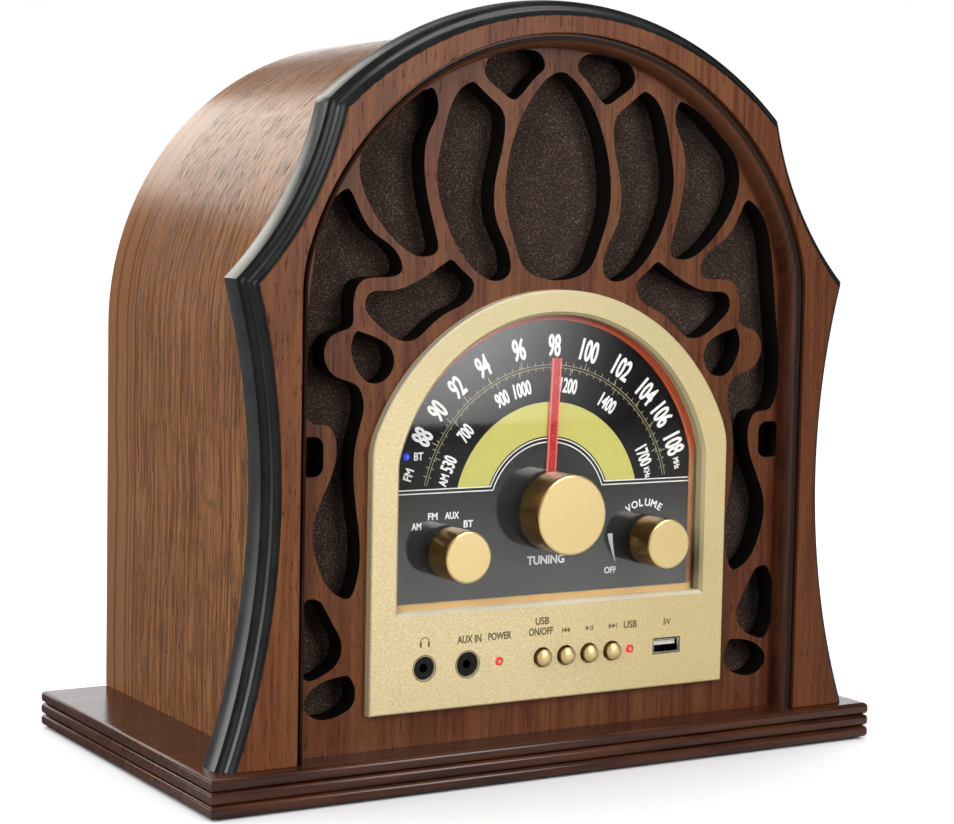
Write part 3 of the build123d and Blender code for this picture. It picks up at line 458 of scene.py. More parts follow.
def tweed():
    """Dark brown grille cloth: a fine uneven weave with paler and golden threads here and there."""
    g, position, (x, _, z) = begin("tweed")
    pitch = 0.8
    weave = g.times(g.math("SINE", g.times(x, 2 * pi / pitch)), g.math("SINE", g.times(z, 2 * pi / pitch)))
    threads = g.noise(g.stretch((x, z), (1.7, 1.2)), 1.0, 3.0, 0.75)
    specks = g.cells(g.stretch((x, z), (2.7, 2.3), 4.0), 1.0)
    cloud = g.noise(position, 0.08, 3.0)
    colour = g.mix(g.ramp(threads, 0.36, 0.66), (6, 3, 2), (96, 72, 60))
    colour = g.mix(g.ramp(specks, 0.90, 0.95, 0.0, 0.7), colour, (156, 134, 118))
    colour = g.mix(g.ramp(specks, 0.02, 0.06, 0.5, 0.0), colour, (124, 98, 48))
    colour = g.mix(g.ramp(cloud, 0.35, 0.65, 0.35, 0.0), colour, (30, 20, 18))
    height = g.plus(g.times(weave, 0.35), g.plus(threads, g.times(specks, 0.4)))
    return g.surface(colour, Roughness=0.9, Specular_IOR_Level=0.2, Sheen_Weight=0.15, Sheen_Roughness=0.5,
                     bump=(height, 0.3, 0.9))


def lamp(name, colour, heart, rim, centres, radius, strength):
    """A small lit lamp: a bright heart, its own colour round it and a pale rim."""
    g, _, (x, _, z) = begin(name)
    distance = None
    for centre in centres:
        reach = g.reach(x, z, centre)
        distance = reach if distance is None else g.math("MINIMUM", distance, reach)
    shade = g.mix(g.ramp(distance, radius * 0.1, radius * 0.55), heart, colour)
    shade = g.mix(g.ramp(distance, radius * 0.78, radius * 0.95), shade, rim)
    return g.surface(shade, Roughness=g.ramp(distance, 0.0, radius, 0.15, 0.22), Emission_Color=shade,
                     Emission_Strength=strength)


# ---- dial and legend layout, in millimetres

DIVIDER_Z, DIVIDER_RADIUS = 116.9, 28.8  # between the two white lines
DIVIDER_LINES = ((117.6, 29.6), (116.1, 28.0))
LINE_WIDTH = 0.45
SCALE_RADII = (59.5, 58.4)
SCALE_END, SCALE_TICKS = 78.0, 44
BAND_RADII = (30.4, 44.4)
FM_MARKS = {88: -61.8, 90: -51.4, 92: -40.7, 94: -28.5, 96: -13.2, 98: 1.4, 100: 16.2, 102: 31.5, 104: 45.4,
            106: 56.1, 108: 68.1}
AM_MARKS = {530: -66.4, 700: -50.4, 900: -26.4, 1000: -15.1, 1200: 9.9, 1400: 33.3, 1700: 66.3}


# ---- flat print, drawn in the front view


def pairs(loop):
    """Each corner of a closed outline with the next."""
    return zip(loop, loop[1:] + loop[:1])


def signed_area(loop):
    return sum(x0 * z1 - x1 * z0 for (x0, z0), (x1, z1) in pairs(loop)) / 2


def winding(point, loops):
    """How many times closed outlines go round a point, anticlockwise."""
    turns = 0
    for loop in loops:
        for (x0, z0), (x1, z1) in pairs(loop):
            if (z0 > point[1]) != (z1 > point[1]) and point[0] < x0 + (point[1] - z0) * (x1 - x0) / (z1 - z0):
                turns += 1 if z1 > z0 else -1
    return turns


def fatten(loop, weight):
    """An outline of a letter moved outwards (a hole's outline inwards), with its corners kept short."""
    shortest, kept = 0.01, []
    for point in loop:
        if not kept or hypot(point[0] - kept[-1][0], point[1] - kept[-1][1]) > shortest:
            kept.append(point)
    if hypot(kept[0][0] - kept[-1][0], kept[0][1] - kept[-1][1]) <= shortest:
        kept.pop()
    moved = []
    for before, point, after in zip(kept[-1:] + kept[:-1], kept, kept[1:] + kept[:1]):
        normals = []
        for (x0, z0), (x1, z1) in ((before, point), (point, after)):
            length = hypot(x1 - x0, z1 - z0)
            normals.append(((z1 - z0) / length, -(x1 - x0) / length))
        x, z = normals[0][0] + normals[1][0], normals[0][1] + normals[1][1]
        reach = weight * min(2 / max(x * x + z * z, 1e-6), 1.0)
        moved.append((point[0] + x * reach, point[1] + z * reach))
    return moved


def filled(loops):
    """Triangles of the area that outlines enclose, even where an outline crosses itself."""
    corners, edges = [], []
    for loop in loops:
        first = len(corners)
        corners += [Vector(point) for point in loop]
        edges += [(first + i, first + (i + 1) % len(loop)) for i in range(len(loop))]
    spots, _, faces, *_ = delaunay_2d_cdt(corners, edges, [], 0, 1e-4)
    kept = []
    for face in faces:
        middle = [sum(spots[i][axis] for i in face) / len(face) for axis in (0, 1)]
        if winding(middle, loops) > 0:
            kept.append(list(face))
    return [tuple(spot) for spot in spots], kept


class Print:
    """Flat shapes in one ink, gathered into one thin piece on a face that looks towards -Y."""

    def __init__(self, name, face, thickness=0.04):
        self.name, self.face, self.thickness = name, face, thickness
        self.vertices, self.faces = [], []

    def polygon(self, points):
        start = len(self.vertices)
        self.vertices += points
        self.faces.append(list(range(start, start + len(points))))

    def bar(self, start, end, width):
        (x0, z0), (x1, z1) = start, end
        length = hypot(x1 - x0, z1 - z0)
        dx, dz = -(z1 - z0) / length * width / 2, (x1 - x0) / length * width / 2
        self.polygon([(x0 - dx, z0 - dz), (x1 - dx, z1 - dz), (x1 + dx, z1 + dz), (x0 + dx, z0 + dz)])

    def arc(self, centre, inner, outer, start, end, steps=96):
        """A band between two radii; angles in degrees clockwise from straight up."""
        first = len(self.vertices)
        for i in range(steps + 1):
            self.vertices += [around(start + (end - start) * i / steps, radius, centre) for radius in (inner, outer)]
        self.faces += [[a, a + 2, a + 3, a + 1] for a in range(first, first + 2 * steps, 2)]

    def text(self, words, place, height, width, turn, weight):
        """Words centred on a place, with a set capital height and, unless it is None, a set overall width."""
        curve = bpy.data.curves.new("words", "FONT")
        curve.body = words
        holder = linked("words", curve)
        outline = holder.to_curve(bpy.context.evaluated_depsgraph_get())
        loops = []
        for spline in outline.splines:
            loop = []
            for p, q in pairs(list(spline.bezier_points)):
                loop += interpolate_bezier(p.co, p.handle_right, q.handle_left, q.co, 5)[:-1]
            loops.append([(p.x, p.y) for p in loop])
        holder.to_curve_clear()
        bpy.data.objects.remove(holder)
        xs, ys = [x for loop in loops for x, y in loop], [y for loop in loops for x, y in loop]
        tall = height / (max(ys) - min(ys))
        wide = tall if width is None else width / (max(xs) - min(xs))
        middle = ((max(xs) + min(xs)) / 2, (max(ys) + min(ys)) / 2)
        loops = [[((x - middle[0]) * wide, (y - middle[1]) * tall) for x, y in loop] for loop in loops]
        if signed_area(max(loops, key=lambda loop: abs(signed_area(loop)))) < 0:
            loops = [loop[::-1] for loop in loops]
        spots, faces = filled([fatten(loop, weight) for loop in loops])
        c, s = cos(radians(turn)), sin(radians(turn))
        first = len(self.vertices)
        self.vertices += [(place[0] + x * c + z * s, place[1] - x * s + z * c) for x, z in spots]
        self.faces += [[first + i for i in face] for face in faces]

    def arched(self, words, centre, radius, height, spread, weight):
        """Capitals stood one by one along an arc, a spread of degrees from one to the next."""
        for i, letter in enumerate(words):
            angle = spread * (i - (len(words) - 1) / 2)
            self.text(letter, around(angle, radius, centre), height, None, angle, weight)

    def piece(self, material, slot):
        mesh = bpy.data.meshes.new(self.name)
        spots = [(x * MM, (self.face - self.thickness) * MM, z * MM) for x, z in self.vertices]
        mesh.from_pydata(spots, [], self.faces)
        build = bmesh.new()
        build.from_mesh(mesh)
        bmesh.ops.remove_doubles(build, verts=build.verts, dist=1e-6)
        loose = [v for v in build.verts if not v.link_faces]
        bmesh.ops.delete(build, geom=loose, context="VERTS")
        for face in build.faces:
            face.normal_update()
            if face.normal.y > 0:
                face.normal_flip()
        build.to_mesh(mesh)
        build.free()
        made = linked(self.name, mesh)
        solid = made.modifiers.new("thickness", "SOLIDIFY")
        solid.thickness = self.thickness * 0.8 * MM
        solid.offset = -1.0
        mesh.materials.append(material)
        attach(made, "case")


def around(angle, radius, centre=DIAL):
    """The place at an angle, in degrees clockwise from straight up, round a centre."""
    return (centre[0] + radius * sin(radians(angle)), centre[1] + radius * cos(radians(angle)))


def meeting(radius, level):
    """The angle from straight up at which a circle round the dial's centre meets a level line."""
    rise = level - DIAL[1]
    return degrees(atan(sqrt(radius ** 2 - rise ** 2) / rise))


def dial_graphics():
    """Everything printed on the dial."""
    white = (240, 240, 236)
    scale = Print("dial_scale_lines", DIAL_FACE)
    for radius in SCALE_RADII:
        scale.arc(DIAL, radius - 0.06, radius + 0.06, -SCALE_END, SCALE_END)
    fm_line, am_line = SCALE_RADII
    angles = [-SCALE_END + 2 * SCALE_END * i / SCALE_TICKS for i in range(1, SCALE_TICKS)]
    for marks, radius, length, width in ((angles, fm_line, 1.4, 0.16), (angles, am_line, -1.2, 0.16),
                                         (FM_MARKS.values(), fm_line, 2.8, 0.18),
                                         (AM_MARKS.values(), am_line, -2.6, 0.18)):
        for angle in marks:
            scale.bar(around(angle, radius), around(angle, radius + length), width)
    scale.piece(ink("scale_ink", (226, 214, 164), (206, 194, 144)), "dial_print")

    band = Print("dial_band", DIAL_FACE)
    steps = 80
    edges = []
    for radius in BAND_RADII:
        end = meeting(radius, DIVIDER_LINES[0][0])
        edges.append([around(-end + 2 * end * i / steps, radius) for i in range(steps + 1)])
    inner, outer = edges
    for i in range(steps):
        band.polygon([outer[i], outer[i + 1], inner[i + 1], inner[i]])
    band.piece(ink("band_ink", (194, 188, 92), (200, 194, 104)), "dial_print")

    lines = Print("dial_divider_lines", DIAL_FACE, 0.05)
    for level, radius in DIVIDER_LINES:
        end = meeting(radius, level)
        lines.arc(DIAL, radius - LINE_WIDTH / 2, radius + LINE_WIDTH / 2, -end, end, 64)
        corner = around(end, radius)[0]
        for side in (-1, 1):
            lines.bar((side * corner, level), (side * WINDOW_EDGE, level), LINE_WIDTH)
    lines.piece(ink("line_ink", white, (214, 214, 208)), "dial_print")

    words = Print("dial_lettering", DIAL_FACE, 0.05)
    for marks, radius, height, digit, weight in ((FM_MARKS, 67.5, 8.7, 2.75, 0.27), (AM_MARKS, 51.5, 5.9, 2.0, 0.18)):
        for number, angle in marks.items():
            words.text(str(number), around(angle, radius), height, digit * len(str(number)), angle, weight)
    # words, place, height of the capitals, width, turn and weight
    for label in (("MHz", (64.2, 123.8), 2.7, 4.6, 75.0, 0.1), ("KHz", (49.2, 120.4), 2.7, 4.3, 75.0, 0.1),
                  ("FM", (-65.5, 123.8), 3.6, 4.6, -72.0, 0.12), ("AM", (-49.4, 121.0), 3.6, 4.6, -72.0, 0.12),
                  ("BT", (-61.0, 131.0), 3.0, 4.0, 0.0, 0.1), ("AM", (-61.5, 103.1), 2.7, 4.2, 0.0, 0.1),
                  ("FM", (-54.1, 106.8), 2.7, 4.2, 0.0, 0.1), ("AUX", (-45.3, 106.8), 2.7, 6.3, 0.0, 0.1),
                  ("BT", (-37.6, 103.1), 2.7, 4.2, 0.0, 0.1), ("TUNING", (-0.4, 86.4), 3.4, 17.8, 0.0, 0.14)):
        words.text(*label)
    words.arched("VOLUME", VOLUME, 15.3, 2.9, 12.5, 0.12)
    words.text("OFF", (31.6, 80.2), 2.6, 5.8, 0.0, 0.1)
    crescent = [(29.9 + 4.1 * t ** 1.3, 95.5 - 12.2 * t, 2.5 * (1 - t) ** 0.8) for t in (i / 12 for i in range(13))]
    for (x0, z0, w0), (x1, z1, w1) in zip(crescent, crescent[1:]):
        words.polygon([(x0, z0), (x0 + w0, z0), (x1 + w1, z1), (x1, z1)] if w1 > 0.01 else
                      [(x0, z0), (x0 + w0, z0), (x1, z1)])
    words.piece(ink("lettering_ink", white, (222, 222, 218)), "dial_print")


def control_legends():
    """Worn brown legends on the gold control strip."""
    legends = Print("control_legends", PLATE_FACE, 0.03)
    top = ROW_Z + 10.4
    power, previous, play, following = (middle(f"button_{action}").x
                                        for action in ("usb_power", "previous", "play", "next"))
    phones, aux, usb = (middle(name).x for name in ("headphone_jack", "aux_jack", "usb_shell"))
    first_led, second_led = low("red_indicator_leds").x + LED_RADIUS, high("red_indicator_leds").x - LED_RADIUS
    for label, x, z, width in (("AUX IN", aux + 0.6, top - 0.2, 11.0), ("POWER", first_led, top, 10.6),
                               ("USB", power - 0.4, top + 4.6, 6.4), ("ON/OFF", power - 1.0, top + 0.3, 11.4),
                               ("USB", second_led, top, 6.4)):
        legends.text(label, (x, z), 2.9, width, 0.0, 0.12)
    legends.arc((phones, top), 1.75, 2.15, -100, 100, 24)
    for side in (-1, 1):
        legends.bar((phones + 1.85 * side, top - 1.9), (phones + 1.85 * side, top + 0.1), 0.9)
    half, reach = 1.1, 0.85
    for x, side in ((previous - reach, -1), (following - reach, 1), (previous + reach, -1), (following + reach, 1),
                    (play - 0.9, 1)):
        back = x - side * reach
        legends.polygon([(back, top - half), (back, top + half), (x + side * reach, top)])
    for x, width in ((previous - 2.0, 0.4), (following + 2.0, 0.4), (play + 0.7, 0.45), (play + 1.6, 0.45)):
        legends.bar((x, top - half), (x, top + half), width)
    # The dark ink ring round each jack's hole stands for the thin rim round the jack, and is painted shade at the
    # hole's edge too.
    for centre in (phones, aux):
        rim = (high("headphone_jack").x - low("headphone_jack").x) / 2 + (0.3 if centre == aux else 0.0)
        legends.arc((centre, ROW_Z), rim, rim + 0.4, 0, 360, 48)
    legends.text("5V", (usb, top - 0.2), 2.4, 3.6, 0.0, 0.1)
    legends.piece(ink("legend_ink", (112, 92, 56), (140, 118, 78)), "gold_plate")


# ---- grille cloth


def grille_cloth():
    """Cloth stretched flat over the baffle: a regular grid that follows the arch and the hole behind the dial."""
    half, foot, apex = high("grille_cloth").x, low("grille_cloth").z, high("grille_cloth").z
    hole_half, hole_foot, hole_apex, hole_radius, shoulder = 86.0, 26.0, 188.0, 90.0, 26.0
    centre = apex - half

    def outer(z):
        return half if z <= centre else sqrt(max(half ** 2 - (z - centre) ** 2, 0.0))

    def hole(z):
        """Half the hole's width at a height, from its three-centred arch."""
        if z < hole_foot or z > hole_apex:
            return 0.0
        level = hole_apex - hole_radius
        reach, side = hole_radius - shoulder, hole_half - shoulder
        rise = sqrt(reach ** 2 - side ** 2)
        if z <= level + rise:
            return hole_half
        if z <= level + hole_radius * rise / reach:
            return side + sqrt(shoulder ** 2 - (z - level - rise) ** 2)
        return sqrt(max(hole_radius ** 2 - (z - level) ** 2, 0.0))

    build = bmesh.new()
    columns, inner_columns, step = 26, 34, 3.0

    def row(z, inside):
        """Vertices from the left edge to the right edge of one row."""
        edge = outer(z)
        left = [-edge + (edge - inside) * i / columns for i in range(columns + 1)]
        across = [-inside + 2 * inside * i / inner_columns for i in range(1, inner_columns)] if inside else []
        xs = left + across + [-x for x in reversed(left)]
        return [build.verts.new((x * MM, CLOTH_FACE * MM, z * MM)) for x in xs]

    def strip(lower, upper, skip=()):
        for i in range(len(lower) - 1):
            if i not in skip:
                corners = [lower[i], lower[i + 1], upper[i + 1], upper[i]]
                if (corners[0].co - corners[1].co).length > 1e-7 or (corners[2].co - corners[3].co).length > 1e-7:
                    build.faces.new(corners)

    # rows up to each level, finer over the last stretch before it, with the faces across the hole left out
    lower, z = row(foot, hole_half), foot
    gap = set(range(columns, columns + inner_columns))
    for top, fine, near, skip in ((hole_foot, step, 0.0, ()), (hole_apex, 0.75, 2 * step, gap),
                                  (apex - 0.2, 1.0, 3 * step - 0.2, ())):
        while z < top - 1e-6:
            z = min(z + (step if z < top - near else fine), top)
            upper = row(z, hole_half if z <= hole_foot else max(hole(z), 1e-4))
            strip(lower, upper, skip)
            lower = upper
    bmesh.ops.remove_doubles(build, verts=build.verts, dist=2e-6)
    bmesh.ops.dissolve_degenerate(build, dist=1e-6, edges=build.edges)
    bmesh.ops.recalc_face_normals(build, faces=build.faces)
    mesh = bpy.data.meshes.new("stretched_cloth")
    build.to_mesh(mesh)
    build.free()
    slack, thickness = 0.12, 0.5
    for v in mesh.vertices:
        x, z = v.co.x / MM, v.co.z / MM
        v.co.y += slack * (sin(x * 0.11 + sin(z * 0.05)) * cos(z * 0.09) + 1.0) * MM
    cloth = linked("stretched_cloth", mesh)
    solid = cloth.modifiers.new("thickness", "SOLIDIFY")
    solid.thickness = thickness * MM
    solid.offset = -1.0 if mesh.polygons[0].normal.y < 0 else 1.0
    mesh.materials.append(tweed())
    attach(cloth, "case")
    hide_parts("grille_cloth")


# ---- black edge moulding

TOP_CENTRE, TOP_RADIUS = (0.0, 158.0), 148.0
UPPER_NOTCH_X, LOWER_NOTCH, FOOT_X = 101.5, (137.8, 199.0), 145.0
UPPER_HOLLOW, SIDE_HOLLOW = (115.0, 230.0), (127.7, 108.0)


def circle_through(a, b, c):
    """Centre and radius of the circle through three points."""
    a, b, c = complex(*a), complex(*b), complex(*c)
    ratio = (c - a) / (b - a)
    centre = a - (a - b) * (ratio - abs(ratio) ** 2) / 2j / ratio.imag
    return (centre.real, centre.imag), abs(centre - a)


def crossing(first, second, near):
    """Where two circles cross, nearest to a point. Each circle is a centre and a radius."""
    ((x0, z0), r0), ((x1, z1), r1) = first, second
    gap = hypot(x1 - x0, z1 - z0)
    along = (r0**2 - r1**2 + gap**2) / (2 * gap)
    off = sqrt(r0**2 - along**2)
    ex, ez = (x1 - x0) / gap, (z1 - z0) / gap
    spots = [(x0 + along * ex + side * off * ez, z0 + along * ez - side * off * ex) for side in (-1, 1)]
    return min(spots, key=lambda spot: hypot(spot[0] - near[0], spot[1] - near[1]))


def swing(centre, radius, start, end, steps):
    """Points along a circle, the shorter way from one point to another, without the last one."""
    first, last = (complex(x - centre[0], z - centre[1]) for x, z in (start, end))
    turns = [phase(first) + phase(last / first) * i / steps for i in range(steps)]
    return [(centre[0] + radius * cos(t), centre[1] + radius * sin(t)) for t in turns]


def bend(start, middle, end, steps):
    """Points along the arc through three points, without the last one."""
    return swing(*circle_through(start, middle, end), start, end, steps)


def edge_moulding():
    """The moulding swept finely round the facia: a bead, a cove and a gently rounded side."""
    front, depth = low("front_frame").y, high("front_frame").y - low("front_frame").y
    profile = [(-0.55, 0.01), (-0.2, 0.12)]
    profile += bend((0.0, 0.4), (1.5, 1.25), (2.6, 2.7), 8)
    profile += bend((2.6, 2.7), (3.6, 5.4), (5.7, 6.6), 10)
    profile += bend((5.7, 6.6), (6.45, depth / 2 + 4.5), (6.2, depth), 12)
    profile += [(6.2, depth), (0.0, depth)]
    upper_notch = (UPPER_NOTCH_X, TOP_CENTRE[1] + sqrt(TOP_RADIUS**2 - UPPER_NOTCH_X**2))
    upper = circle_through(upper_notch, UPPER_HOLLOW, LOWER_NOTCH)
    side = circle_through(LOWER_NOTCH, SIDE_HOLLOW, (FOOT_X, BASE_TOP))
    lines = []
    for out, back in profile:
        top = (TOP_CENTRE, TOP_RADIUS + out)
        hollow, waist = (upper[0], upper[1] - out), (side[0], side[1] - out)
        tip = crossing(top, hollow, upper_notch)
        elbow = crossing(hollow, waist, LOWER_NOTCH)
        foot = (waist[0][0] - sqrt(waist[1]**2 - (BASE_TOP - waist[0][1])**2), BASE_TOP)
        apex = (0.0, TOP_CENTRE[1] + top[1])
        line = swing(*waist, foot, elbow, 60) + swing(*hollow, elbow, tip, 40) + swing(*top, tip, apex, 50) + [apex]
        lines.append([(x, front + back, z) for x, z in line] + [(-x, front + back, z) for x, z in line[-2::-1]])
    count = len(lines[0])
    faces = []
    for i in range(len(lines)):
        j = (i + 1) % len(lines)
        faces += [[i * count + k, i * count + k + 1, j * count + k + 1, j * count + k] for k in range(count - 1)]
    faces += [[i * count for i in range(len(lines))], [i * count + count - 1 for i in reversed(range(len(lines)))]]
    mesh = bpy.data.meshes.new("facia_moulding")
    mesh.from_pydata([(x * MM, y * MM, z * MM) for line in lines for x, y, z in line], [], faces)
    build = bmesh.new()
    build.from_mesh(mesh)
    bmesh.ops.recalc_face_normals(build, faces=build.faces)
    for face in build.faces:
        face.smooth = True
    build.to_mesh(mesh)
    build.free()
    mesh.set_sharp_from_angle(angle=radians(40))
    made = linked("facia_moulding", mesh)
    mesh.materials.append(black_lacquer())
    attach(made, "case")
    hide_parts("edge_moulding")


# ---- finishing the CAD pieces


def soften(node, width, angle=35.0):
    """Rounds a CAD piece's hard edges, as sanding or moulding leaves them."""
    piece = nodes[node]
    weld = piece.modifiers.new("weld", "WELD")
    weld.merge_threshold = 0.002 * MM
    bevel = piece.modifiers.new("soft_edges", "BEVEL")
    bevel.width = width * MM
    bevel.segments = 2
    bevel.limit_method = "ANGLE"
    bevel.angle_limit = radians(angle)


def shade_evenly(node):
    """Shades a bent sheet as one surface, across its softened edges."""
    piece = nodes[node]
    for face in piece.data.polygons:
        face.use_smooth = True
    weighted = piece.modifiers.new("even_shading", "WEIGHTED_NORMAL")
    weighted.keep_sharp = True


def both(name):
    return f"{name}_left", f"{name}_right"


def cad_materials():
    buttons = (name for name in nodes if name.startswith("button_"))
    reds = low("red_indicator_leds"), high("red_indicator_leds")
    radius = (reds[1].z - reds[0].z) / 2
    red_hearts = ((reds[0].x + radius, ROW_Z), (reds[1].x - radius, ROW_Z))
    blue = middle("bluetooth_led")
    for material, *names in (
            (veneer(), "cabinet_shell"),
            (facia_wood("facia_wood", 11.0, (140, 86, 48), (96, 50, 27), (84, 44, 24)), "front_frame"),
            (facia_wood("fret_wood", 23.0, (116, 70, 41), (80, 41, 23), (10, 8, 6)), "fretwork_panel"),
            (bead_wood(), "arch_bead"),
            (base_wood(), "base_plinth"),
            (plain_wood("bare_ply", (196, 160, 112), (150, 112, 72), 0.7), "glue_blocks", "speaker_baffle"),
            (plain_wood("hardboard", (74, 50, 34), (40, 26, 18), 0.62), "rear_panel"),
            (gold_paint(), "escutcheon"),
            (gold_metal("knob_gold", 0.34, 0.27), "tuning_knob", "selector_knob", "volume_knob"),
            (gold_metal("button_gold", 0.42, 0.42), *buttons),
            (copper_paint(), "dial_trim", "ferrite_coil"),
            (clear_glass(), "dial_lens"),
            (dial_print(), "dial_plate"),
            (pointer_red(), "tuning_pointer"),
            (lamp("red_lamp", (226, 40, 40), (255, 150, 140), (230, 150, 130), red_hearts, radius, 0.6),
             "red_indicator_leds"),
            (lamp("blue_lamp", (22, 52, 214), (60, 96, 250), (24, 36, 130), ((blue.x, blue.z),), LED_RADIUS,
                  0.7),
             "bluetooth_led"),
            (plastic("socket_black", (10, 10, 10), (5, 5, 5), 0.22, Specular_IOR_Level=0.25),
             "headphone_jack", "aux_jack"),
            (plastic("pale_tongue", (252, 248, 242), (240, 236, 228), 0.3), "usb_tongue"),
            (plastic("moulded_black", (34, 34, 34), (20, 20, 20), 0.5), "power_inlet", "tact_switches",
             "ferrite_stands"),
            (plastic("foot_rubber", (40, 40, 40), (26, 26, 26), 0.75), "rubber_feet", *both("speaker_surround")),
            (plastic("cone_paper", (70, 66, 62), (48, 45, 42), 0.85), "speaker_dust_caps", *both("speaker_cone")),
            (steel("basket_steel", (60, 60, 62), (38, 38, 40), 0.5), *both("speaker_basket")),
            (steel("dark_ferrite", (80, 80, 84), (52, 52, 55), 0.6, (1.0, 1.0, 1.0)), "ferrite_rod",
             *both("speaker_magnet")),
            (steel("plated_steel", (206, 204, 198), (150, 150, 146), 0.34), "dial_chassis", "tuning_shaft",
             "selector_shaft", "volume_shaft", "tuning_capacitor", "selector_switch", "volume_control"),
            (socket_steel(), "usb_shell"),
            (steel("screw_steel", (186, 172, 132), (128, 116, 84), 0.36, (1.5, 1.5, 1.5)), "base_screws",
             "speaker_screws", "escutcheon_screws", "chassis_screws", "shaft_nuts", "rear_panel_screws"),
            (steel("laminations", (96, 88, 78), (44, 40, 36), 0.5, (0.2, 0.2, 5.0)), "mains_transformer"),
            (circuit_board(), "control_board", "main_board")):
        for name in names:
            slots = nodes[name].data.materials
            slots.clear()
            slots.append(material)


def soft_edges():
    for node, width in (("front_frame", 0.5), ("fretwork_panel", 0.45), ("cabinet_shell", 0.5), ("power_inlet", 0.3),
                        ("headphone_jack", 0.2), ("aux_jack", 0.2), ("usb_shell", 0.08), ("mains_transformer", 0.6)):
        soften(node, width)
    soften("base_plinth", 0.35, 50.0)
    shade_evenly("cabinet_shell")


# ---- camera, floor and lights

WORLD_FRONT, WORLD_BACK = 0.05, 0.12
FLOOR_FAR, FLOOR_GREY, FLOOR_POOL, FLOOR_WHITE = ((grey, grey, grey, 1.0) for grey in (0.01, 0.05, 0.22, 0.38))


def camera():
    place = (-0.49662, -0.84089, 0.2208)
    yaw, pitch, roll = radians(30.96), radians(4.64), radians(1.09)
    forward = Vector((sin(yaw) * cos(pitch), cos(yaw) * cos(pitch), -sin(pitch)))
    right = Vector((cos(yaw), -sin(yaw), 0.0))
    up = right.cross(forward)
    x_axis = cos(roll) * right + sin(roll) * up
    y_axis = -sin(roll) * right + cos(roll) * up
    turn = Matrix((x_axis, y_axis, -forward)).transposed().to_4x4()
    data = bpy.data.cameras.new("camera")
    data.lens, data.sensor_width = 85.1, 36.0
    scene.camera = linked("camera", data)
    scene.camera.matrix_world = Matrix.Translation(place) @ turn


def softbox(name, place, target, width, height, radiance, tint=(1.0, 1.0, 1.0)):
    """A rectangular studio light of a given brightness, aimed at a target."""
    data = bpy.data.lights.new(name, "AREA")
    data.shape = "RECTANGLE"
    data.size, data.size_y = width, height
    data.energy = radiance * pi * width * height
    data.color = tint
    made = linked(name, data)
    made.location = place
    made.rotation_mode = "QUATERNION"
    made.rotation_quaternion = (Vector(target) - Vector(place)).to_track_quat("-Z", "Y")
    made.visible_camera = False


def quad(name, *corners):
    """A single four-cornered face."""
    mesh = bpy.data.meshes.new(name)
    mesh.from_pydata(corners, [], [(0, 1, 2, 3)])
    return linked(name, mesh)


def key_panel(left, right, bottom, top, y, radiance):
    """The main light: an upright panel that fades out towards its foot and its right edge."""
    panel = quad("key_panel", (left, y, bottom), (right, y, bottom), (right, y, top), (left, y, top))
    g, _, (px, _, pz) = begin("key_glow")
    rise = g.ramp(pz, bottom / MM, (bottom + 0.36 * (top - bottom)) / MM)
    fade = g.ramp(px, (right - 0.28) / MM, right / MM, 1.0, 0.0)
    glow = g.show(g.node("ShaderNodeEmission", {"Strength": g.times(g.times(rise, fade), radiance)}))
    panel.data.materials.append(glow)
    panel.visible_camera = False
    panel.visible_shadow = False


def sun(name, strength, breadth, receiver=None):
    """Light from overhead, as broad as an angle in degrees; with a receiver, only that object gets it."""
    data = bpy.data.lights.new(name, "SUN")
    data.energy, data.angle = strength, radians(breadth)
    made = linked(name, data)
    if receiver is not None:
        lit = bpy.data.collections.new(f"{name}_receivers")
        lit.objects.link(receiver)
        made.light_linking.receiver_collection = lit


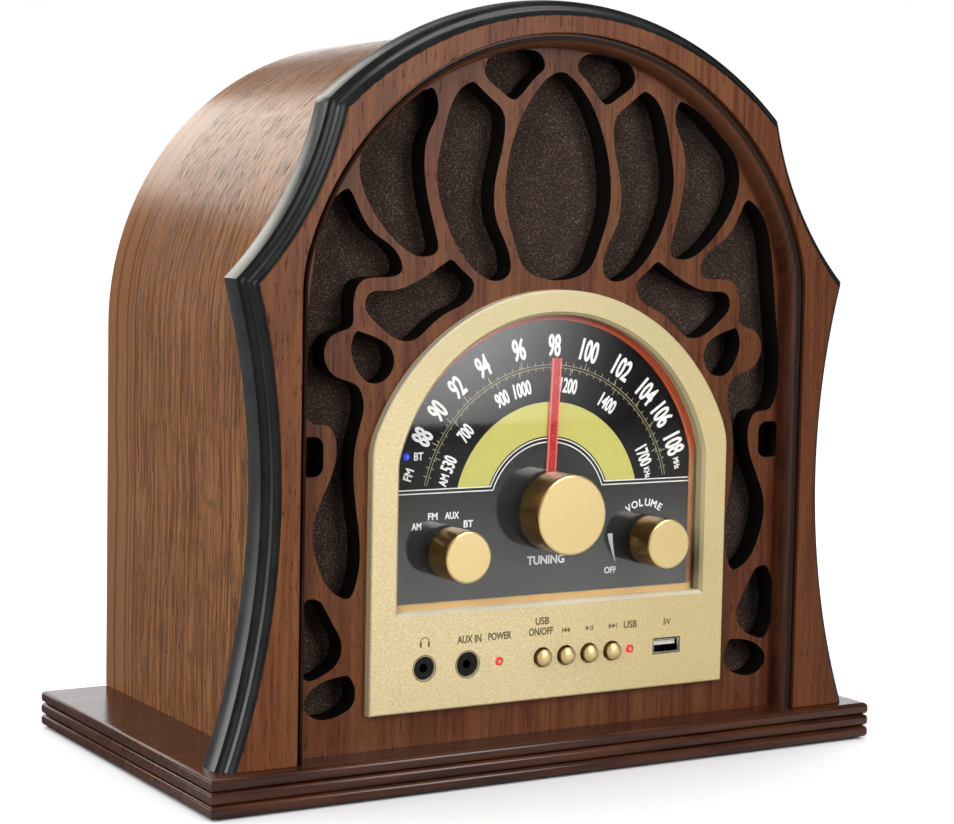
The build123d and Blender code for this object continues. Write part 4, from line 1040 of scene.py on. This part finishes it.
def floor_and_surround():
    """A white floor that the object's gloss sees as grey, and a dim surround behind a white backdrop."""
    half = 60.0
    floor = quad("floor", (-half, -half, 0), (half, -half, 0), (half, half, 0), (-half, half, 0))
    g, _, (_, y, _) = begin("floor_white")
    seen = g.node("ShaderNodeLightPath").outputs
    glossy = seen["Is Glossy Ray"]
    # Seen in reflections the floor is grey, with a painted pool of light in front of the radio and painted shade far
    # off.
    pool = g.times(g.ramp(y, -1000.0, -450.0), g.ramp(y, -150.0, 50.0, 1.0, 0.0))
    grey = g.mix(g.times(glossy, pool), FLOOR_GREY, FLOOR_POOL)
    grey = g.mix(g.times(glossy, g.ramp(y, -1500.0, -1100.0, 1.0, 0.0)), grey, FLOOR_FAR)
    floor.data.materials.append(g.surface(g.mix(seen["Is Camera Ray"], grey, FLOOR_WHITE), Roughness=0.6,
                                          Specular_IOR_Level=0.0))

    w = Graph("studio", "worlds", "ShaderNodeOutputWorld")
    seen = w.node("ShaderNodeLightPath").outputs["Is Camera Ray"]
    axes = w.node("ShaderNodeSeparateXYZ", {0: w.node("ShaderNodeTexCoord").outputs["Generated"]}).outputs
    strength = w.node("ShaderNodeMapRange", {"Value": axes[1], "From Min": -0.2, "From Max": 0.6,
                                             "To Min": WORLD_FRONT, "To Max": WORLD_BACK}).outputs["Result"]
    surround, backdrop = (w.node("ShaderNodeBackground", {"Color": (1.0, 1.0, 1.0, 1.0), "Strength": level})
                          for level in (strength, 1.0))
    scene.world = w.show(w.node("ShaderNodeMixShader", {0: seen, 1: surround.outputs[0], 2: backdrop.outputs[0]}))
    return floor


def studio():
    floor = floor_and_surround()
    sun("overhead", 0.6, 100)
    sun("floor_light", 8.8, 150, floor)
    key_panel(0.3, 1.05, -0.16, 1.5, -1.5, 7.0)
    softbox("left_front", (-1.1, -0.7, 0.7), (0.0, 0.0, 0.15), 0.9, 0.9, 4.4)
    softbox("left", (-1.5, 0.6, 0.6), (0.0, 0.0, 0.15), 1.2, 0.9, 1.8)
    softbox("back_top", (-0.35, 1.5, 1.15), (-0.15, 0.0, 0.25), 1.0, 0.85, 3.3, (1.0, 0.97, 0.88))
    softbox("top", (0.25, 0.42, 1.56), (-0.05, -0.09, 0.3), 1.1, 0.7, 3.0)
    softbox("back_low", (0.85, 2.6, 0.5), (0.0, 0.0, 0.1), 2.8, 1.0, 1.5)
    softbox("back_left", (-2.0, 1.3, 0.4), (0.0, 0.0, 0.2), 1.2, 0.9, 1.3)
    scene.view_settings.view_transform = "Standard"


# ---- the whole radio

camera()
studio()
cad_materials()
soft_edges()
dial_graphics()
control_legends()
grille_cloth()
edge_moulding()
